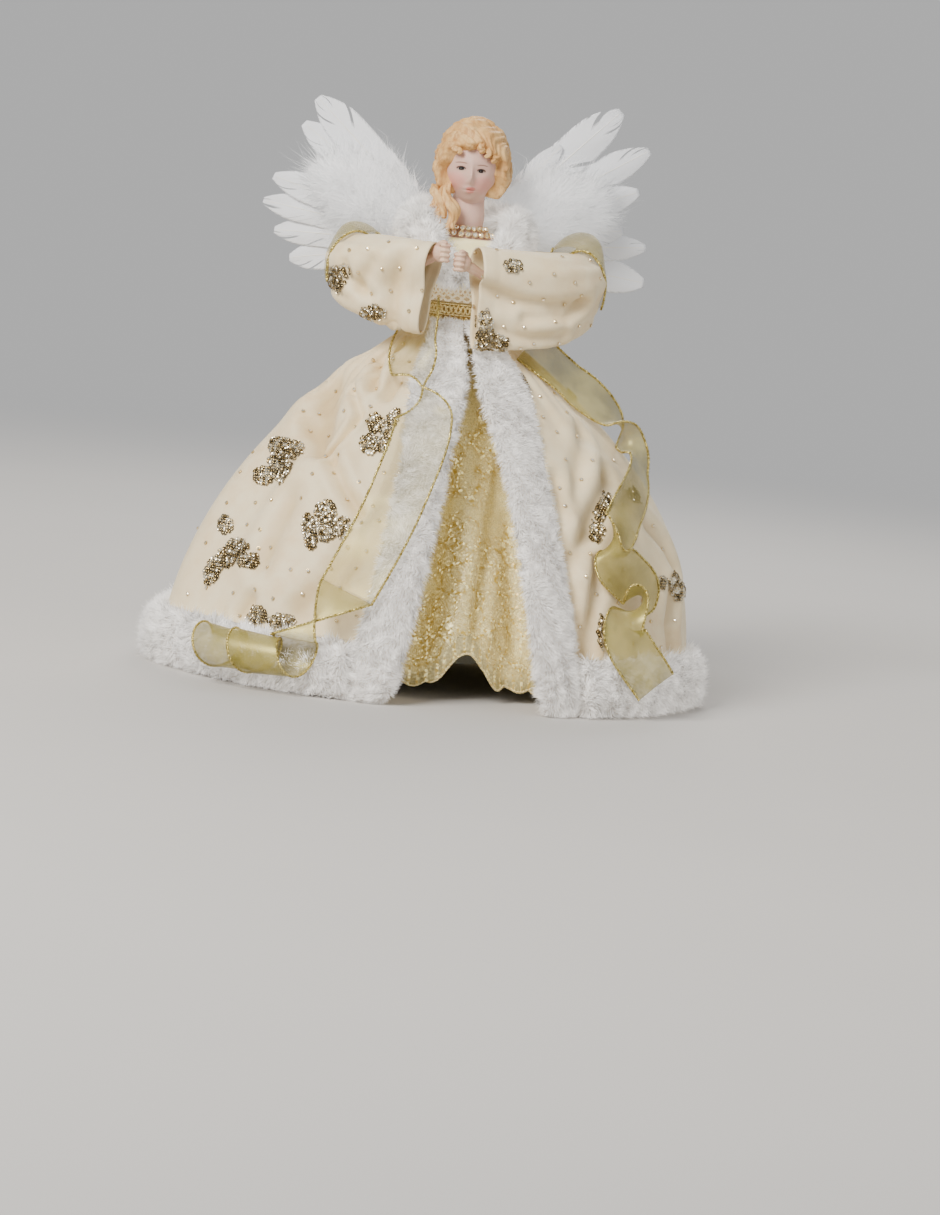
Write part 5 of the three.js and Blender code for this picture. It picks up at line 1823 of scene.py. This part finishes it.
def down(side, sign):
    """The core of the down, the fluff on it, long barbs from the feathers and a few longer wisps."""
    body = f"{side}_wing"
    luck = np.random.default_rng(70 + sign)
    mound = grid(f"{side}_wing_down_core", 36, 30, down_mound(sign, 0.68))
    edit(mound, *CLOSE)
    mound.data.materials.append(white_felt)
    smooth(mound)
    stand_in(mound, body, f"{side}_wing_down")
    centre = wing_place(sign, (sign * 20, 12, 0))

    def grow(kind, roots, normals, ways, lengths, radius, bend=None):
        pile(f"{side}_wing_down_{kind}", roots, normals, unit(ways), lengths * MM, radius * MM,
             white_down, body, luck, bend)

    roots, normals = scatter(mound, FLUFF, luck)
    away = unit(roots - centre)
    ways = normals * 0.45 + away * 0.7 + 0.55 * sway(roots, 150, 21) + 0.4 * luck.normal(size=roots.shape)
    lengths = luck.gamma(5, 2.2, len(roots)).clip(4, 22)
    grow("fluff", roots, normals, ways, lengths * tufts(roots, 22), 0.19)

    roots, heads = barb_roots(side, sign, luck)
    normals = np.tile((0.0, -1.0, 0.0), (BARBS, 1))
    ways = heads * 0.6 + normals * 0.35 + 0.3 * sway(roots, 130, 23) + 0.35 * luck.normal(size=roots.shape)
    lengths = luck.gamma(5, 3.0, BARBS).clip(6, 32)
    bend = 0.5 * sway(roots, 200, 24) + 0.45 * luck.normal(size=roots.shape)
    grow("barbs", roots, normals, ways, lengths, 0.11, bend)

    roots, normals = scatter(mound, WISPS, luck)
    away = unit(roots - centre)
    ways = normals * 0.35 + away * 0.8 + 0.35 * sway(roots, 120, 25) + 0.3 * luck.normal(size=roots.shape)
    lengths = luck.gamma(6, 3.2, len(roots)).clip(10, 38)
    bend = 0.5 * sway(roots, 200, 26) + 0.4 * luck.normal(size=roots.shape)
    grow("wisps", roots, normals, ways, lengths, 0.1, bend)


for side, sign in (("right", -1), ("left", 1)):
    fan(side, sign)
    wing_pad(side, sign)
    down(side, sign)

# %% [markdown]
# ## Waist trims
# Two trims go round the waist: a cream braid of loops over a gold gimp. Each is a tape with cords sewn on it: plain
# rows along its edges and waves between them, which cross like the loops of a braid.

# %% Trim finishes
@finish
def cream_thread(w):
    place = w.place()
    fleck = place.noise(900, 1).step(0.62, 0.7)
    # The Emission Color is painted light: an even cream glow that lifts the trim out of the sleeves' shade.
    return {
        "Base Color": fleck.mix(srgb(250, 242, 220), srgb(226, 198, 130)),
        "Emission Color": srgb(250, 236, 200),
        "Emission Strength": 0.2,
        "Roughness": 0.5 - fleck * 0.15,
        "Metallic": fleck * 0.6,
        "Sheen Weight": 0.3,
        "Normal": place.noise(1400, 2).bump(0.3, 0.2 * MM),
    }


@finish
def trim_tape(w):
    place = w.place()
    return {
        "Base Color": place.axis(2).step(0.2551, 0.2553).mix(srgb(170, 138, 74), srgb(226, 206, 166)),
        "Roughness": 0.7,
        "Normal": place.noise(900, 2).bump(0.4, 0.3 * MM),
    }


print("trim finishes:", cream_thread.name, trim_tape.name)

# %% Waist trims
TAPE_LIFT = 3.0 * MM


def belt_line(z, lift, wave=0.0, count=0, phase=0.0):
    """A line round the waist, straight or in waves, lifted off the coat."""
    t = np.linspace(0, TAU, 20 * max(count, 12) + 1)
    rx, ry = figure(z, TAPE_LIFT + lift * MM + 0.4 * MM * np.cos(2 * count * t) * (count > 0))
    return around(t, rx, ry, z + wave * MM * np.sin(count * t + phase))


def braid(z, lift, wave, count):
    """Two waves that cross like the loops of a braid."""
    return [belt_line(z, lift, wave, count, phase) for phase in (0, math.pi)]


for shade, low, high in (("gold", 0.2446, 0.2550), ("cream", 0.2554, 0.2658)):
    tape = cloth(f"waist_{shade}_tape", 160, 6, shell(TAPE_LIFT, 0, TAU, low, high, 0), 0.5 * MM,
                 trim_tape, closed=True)
    stand_in(tape, "figure", f"waist_braid_{shade}")
for name, lines, thick, material in (
        ("cream_upper_loops", braid(0.2632, 0.8, 1.9, 26), 1.3, cream_thread),
        ("cream_lower_loops", braid(0.2584, 1.0, 2.1, 12), 1.9, cream_thread),
        ("gold_gimp", braid(0.2506, 1.0, 2.4, 22), 1.5, gold_cord),
        ("gold_rows", [belt_line(z, 0.7) for z in (0.2472, 0.2542)], 1.1, gold_cord),
        ("gold_fringe", [belt_line(0.2446, 1.0, 1.3, 40)], 0.9, gold_cord)):
    cord(f"waist_{name}", lines, thick * MM, "figure", material)

# %% [markdown]
# ## Rhinestones
# A rhinestone is a small cut glass stone with foil behind it, in a metal cup. The stone has a flat top and eight
# slanted sides, which is enough to flash. One stone is modelled, and copies of it are set on the cloth.

# %% Stone finishes
@finish
def cut_stone(w):
    uv = w.uv()
    return {
        "Base Color": uv.axis(0).mix(srgb(232, 214, 170), srgb(255, 250, 240)),
        "Metallic": 0.85,
        "Roughness": 0.08 + uv.axis(0) * 0.06,
    }


@finish
def gold_cup(w):
    place = w.place()
    return {
        "Base Color": place.noise(500, 1).mix(srgb(204, 174, 108), srgb(238, 212, 150)),
        "Metallic": 1.0,
        "Roughness": 0.3,
    }


print("stone finishes:", cut_stone.name, gold_cup.name)


# %% Stones, cups and sequins
def turned(profile, sides):
    """Points and faces of rings of (radius, height), joined up in order."""
    t = ring_turns(sides)
    points = [np.stack([r * np.cos(t), r * np.sin(t), np.full(sides, h)], 1) for r, h in profile]
    faces = []
    for k in range(len(profile) - 1):
        for i in range(sides):
            n = (i + 1) % sides
            faces.append((k * sides + i, k * sides + n, (k + 1) * sides + n, (k + 1) * sides + i))
    return np.concatenate(points), faces


STONE = turned([(1.0, 0.15), (0.96, 0.32), (0.55, 0.62), (0.02, 0.64)], 8)
CUP = turned([(1.05, -0.25), (1.22, -0.1), (1.2, 0.22), (1.0, 0.24)], 8)
SEQUIN = turned([(0.26, -0.05), (0.42, 0.02), (0.78, 0.1), (1.0, 0.3)], 8)
SEED_BEAD = turned([(0.02, 0.02), (0.24, 0.08), (0.26, 0.26), (0.02, 0.36)][::-1], 6)


def sew(name, model, seats, material, body, luck, lean=0.0):
    """Copies of a model on seats of (point, normal, size): one piece, a random tone for each copy."""
    points, faces = model
    spots, all_faces, tones = [], [], []
    for k, (point, normal, size) in enumerate(seats):
        z = unit(np.asarray(normal) + lean * luck.normal(size=3))
        x = unit(np.cross(z, luck.normal(size=3)))
        spots.append(point + size * (points @ np.stack([x, np.cross(z, x), z])))
        all_faces += [[i + k * len(points) for i in f] for f in faces]
        tones.append(luck.uniform())
    made = piece_from(name, np.concatenate(spots), all_faces, material)
    layer = made.data.uv_layers.new(name="UVMap").data
    tone = np.repeat(tones, len(faces) * 4)
    layer.foreach_set("uv", np.stack([tone, 0 * tone], 1).astype(np.float32).ravel())
    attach(made, body)
    print(name, len(seats), "sewn on")
    return made


def stones(name, seats, body, luck):
    sew(f"{name}_cups", CUP, seats, gold_cup, body, luck)
    return sew(f"{name}_stones", STONE, seats, cut_stone, body, luck, 0.08)


print("faces of a stone and its cup:", len(STONE[1]) + len(CUP[1]))

# %% Neckline rows
luck = np.random.default_rng(80)
for row, z, count, size in (("lower", 0.3014, 27, 1.75 * MM), ("upper", 0.3054, 24, 1.6 * MM)):
    t = ring_turns(count)
    rx, ry = figure(z, 1.6 * MM + 0.8 * size)
    out = unit(around(t, 1, 1, 0.35))
    seats = [(p, n, size) for p, n in zip(around(t, rx, ry, z), out)]
    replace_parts(stones(f"neckline_{row}", seats, "figure", luck), f"neckline_beads_{row}")

# %% [markdown]
# ## Sequins
# The coat and the sleeves carry motifs of small cupped sequins, each with a hole, and single rhinestones
# between them. A motif is a few leaves, and each leaf is an oval in the picture. A ray through its middle finds the
# cloth, and rows of sequins spread from there over the cloth itself, so that they are even from every side.

# %% Sequin finish
@finish
def bronze_sequin(w):
    uv = w.uv()
    # Each sequin gets a random tone from dark bronze to near white: partly the sequins' own mix of bronze and silver,
    # partly painted reflections, lit and dark copies of one metal.
    return {
        "Base Color": (uv.axis(0) * uv.axis(0)).mix(srgb(112, 94, 60), srgb(255, 250, 232)),
        "Metallic": 1.0,
        "Roughness": 0.16 + uv.axis(0) * 0.12,
    }


# Sequins stand in staggered rows, in pixels, and may reach a little over the oval they fill
ROW_PITCH, ROW_GAP, OVAL_LIMIT = 3.1, 2.8, 1.25
SEQUIN_SIZE, SEQUIN_SPACE, SEQUIN_LEAN = 1.45 * MM, 1.9 * MM, 0.17
STONE_SIZE = 1.05 * MM


def leaf(x, y, wide, tall, degrees=0.0):
    """Pixels in staggered rows that fill an oval."""
    a = math.radians(degrees)
    spots = []
    for row in range(-9, 10):
        for k in range(-9, 10):
            px, py = ROW_PITCH * k + (row % 2) * ROW_PITCH / 2, ROW_GAP * row
            u, v = px * math.cos(a) + py * math.sin(a), py * math.cos(a) - px * math.sin(a)
            if (u / wide) ** 2 + (v / tall) ** 2 <= OVAL_LIMIT:
                spots.append((x + px, y + py))
    return spots


def towards(normal, way):
    """A normal, turned round where it looks away from way."""
    normal = np.array(normal)
    return normal * np.sign(normal @ way)


def nearest(piece, point, way):
    """The nearest point of a piece, and the normal there on the side of way."""
    _, spot, normal, _ = piece.closest_point_on_mesh(Vector(point))
    return np.array(spot), towards(normal, way)


def pixel_of(point):
    """The pixel of the picture at which a point is seen."""
    ray = point - np.array(eye)
    on_plane = np.array(eye) - ray * (DISTANCE / (ray @ TO_CAMERA))
    return np.array((FOOT_PIXEL[0] + on_plane @ np.array(right) / PIXEL,
                     FOOT_PIXEL[1] - on_plane @ np.array(up) / PIXEL))


print("sequins:", SEQUIN_SIZE * 2000, "mm across")

# %% Motifs
def motif_seats(piece, taken, x, y, wide, tall, degrees=0.0):
    """Adds seats that fill an oval of the picture, spread evenly on the cloth itself and clear of those taken."""
    pixels = sorted(leaf(x, y, wide, tall, degrees), key=lambda p: math.hypot(p[0] - x, p[1] - y))
    hits = [hit for hit in (ray_hit(piece, *p) for p in pixels) if hit]
    if not hits:
        return
    point, normal = hits[0]
    normal = towards(normal, TO_CAMERA)
    across = unit(np.cross((0, 0, 1), normal))
    down = np.cross(normal, across)
    c, s = math.cos(math.radians(degrees)), math.sin(math.radians(degrees))
    reach = 1.7 * max(wide, tall)
    for px, py in leaf(0, 0, reach, reach):
        spot, way = nearest(piece, point + 4 * MM * normal + PIXEL * (px * across + py * down), normal)
        sx, sy = pixel_of(spot) - (x, y)
        inside = ((sx * c + sy * s) / wide) ** 2 + ((sy * c - sx * s) / tall) ** 2 <= OVAL_LIMIT
        if inside and all((Vector(seat[0]) - Vector(spot)).length > SEQUIN_SPACE for seat in taken):
            lift = luck.uniform(0.7, 1.1) * MM
            taken.append((spot + lift * way, way, SEQUIN_SIZE * luck.uniform(0.85, 1.1)))


MOTIFS = {
    "coat_right": (coat_right, "figure", [
        (281, 447, 11, 9), (295, 451, 8, 9), (279, 461, 9, 7), (265, 476, 10, 8), (284, 473, 11, 10),
        (375, 424, 8, 9), (392, 420, 5, 12, 25), (370, 445, 9, 9), (384, 442, 5, 10, 20),
        (310, 532, 6, 17, -8), (327, 511, 11, 9), (325, 530, 12, 10), (342, 528, 8, 10),
        (238, 548, 11, 8), (214, 570, 7, 14, 25), (250, 561, 10, 8), (227, 558, 9, 9),
        (226, 525, 7, 8), (257, 615, 10, 8), (283, 622, 12, 8)]),
    "coat_left": (coat_left, "figure", [
        (523, 386, 5, 14, -20), (579, 391, 11, 8), (602, 507, 7, 14, 15), (596, 527, 7, 15),
        (632, 495, 7, 7), (662, 583, 5, 5), (677, 586, 9, 13), (602, 632, 4, 17)]),
    "right_sleeve": (sleeves["right"], "right_arm", [(338, 278, 8, 12), (347, 270, 5, 6), (373, 312, 11, 7)]),
    "left_sleeve": (sleeves["left"], "left_arm", [
        (486, 322, 8, 12), (485, 340, 10, 12), (495, 342, 11, 12), (487, 354, 12, 7), (513, 266, 8, 6)]),
}
luck = np.random.default_rng(81)


def sequins(name, seats, body):
    """A sequin on each seat, with a seed bead over its hole."""
    sew(f"{name}_sequins", SEQUIN, seats, bronze_sequin, body, luck, SEQUIN_LEAN)
    sew(f"{name}_seed_beads", SEED_BEAD, seats, gold_cup, body, luck)


for name, (piece, body, leaves) in MOTIFS.items():
    seats = []
    for shape in leaves:
        motif_seats(piece, seats, *shape)
    sequins(name, seats, body)

# %% Single stones
def free_pixels(x0, x1, y0, y1, leaves, step):
    """Pixels in a loose grid that stay clear of the motifs."""
    spots = []
    for row, y in enumerate(range(y0, y1, step)):
        for x in range(x0 + (row % 2) * step // 2, x1, step):
            px, py = x + luck.uniform(-6, 6), y + luck.uniform(-6, 6)
            if all(math.hypot(px - m[0], py - m[1]) > max(m[2:4]) + 5 for m in leaves):
                spots.append((px, py))
    return spots


AREAS = {"coat_right": (150, 420, 340, 650), "coat_left": (490, 700, 345, 670),
         "right_sleeve": (325, 425, 245, 345), "left_sleeve": (470, 600, 255, 365)}
for name, (piece, body, leaves) in MOTIFS.items():
    hits = [ray_hit(piece, *pixel) for pixel in free_pixels(*AREAS[name], leaves, 23)]
    spots = [(point, towards(normal, TO_CAMERA)) for point, normal in filter(None, hits)]
    stones(name, [(point + way * 0.75 * MM, way, STONE_SIZE) for point, way in spots], body, luck)

# %% The coat's back
GOLDEN_STEP = 0.618
BACK_MOTIF = leaf(0, 0, 9, 6, 35) + leaf(6, -9, 6, 9) + leaf(-9, -6, 8, 6, -20)


def back_seats(count, size, lift):
    """Seats spread over the coat's back panel, which the picture doesn't show."""
    seats = []
    for k in range(count):
        angle = lerp(SEAM + 0.1, TAU - SEAM - 0.1, (k * GOLDEN_STEP) % 1)
        s = lerp(0.2, 0.8, ((k + 0.5) / count) ** 0.7)
        point, normal = nearest(coat_back, coat_point(angle, s, 2 * MM), around(angle, 1, 1, 0))
        seats.append((point + normal * lift, normal, size))
    return seats


stones("coat_back", back_seats(90, STONE_SIZE, 0.3 * MM), "figure", luck)
seats = []
for point, normal, size in back_seats(9, SEQUIN_SIZE, 0.4 * MM):
    x = unit(np.cross(normal, (0, 0, 1)))
    y = np.cross(normal, x)
    for px, py in BACK_MOTIF:
        spot, way = nearest(coat_back, point + PIXEL * (px * x + py * y), normal)
        seats.append((spot + way * luck.uniform(0.3, 0.8) * MM, way, size * luck.uniform(0.85, 1.1)))
sequins("coat_back", seats, "figure")

# %% [markdown]
# ## Pieces kept from the CAD model
# The cone, the foam body and the wires keep their CAD shape. The cone is a rolled sheet of clear
# plastic, which shows under the gown's notch, so it gets a smooth clear finish with fine scratches.

# %% Kept pieces
@finish
def clear_plastic(w):
    place = w.place()
    scratch = place.stretch(1, 1, 0.1).noise(260, 3)
    return {
        "Base Color": scratch.mix(srgb(232, 236, 234), srgb(246, 248, 247)),
        "Roughness": 0.12 + scratch * 0.2,
        "Transmission Weight": 0.85,
        "IOR": 1.45,
    }


@finish
def white_foam(w):
    place = w.place()
    cells = place.cells(420.0)
    return {
        "Base Color": cells.step(0, 0.6).mix(srgb(244, 242, 236), srgb(226, 223, 215)),
        "Roughness": 0.85,
        "Normal": cells.bump(0.5, 0.4 * MM),
    }


@finish
def steel_wire(w):
    place = w.place()
    drawn = place.stretch(0.1, 1, 1).noise(900, 2)
    return {
        "Base Color": drawn.mix(srgb(150, 150, 148), srgb(186, 186, 184)),
        "Metallic": 0.95,
        "Roughness": 0.28 + drawn * 0.2,
    }


KEPT = {"support_cone": clear_plastic, "torso_core": white_foam}
KEPT |= {f"{side}_{wire}_wire": steel_wire for side in ("right", "left") for wire in ("arm", "wing")}
for node, material in KEPT.items():
    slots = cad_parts[node].data.materials
    slots.clear()
    slots.append(material)
print("kept:", sorted(KEPT))
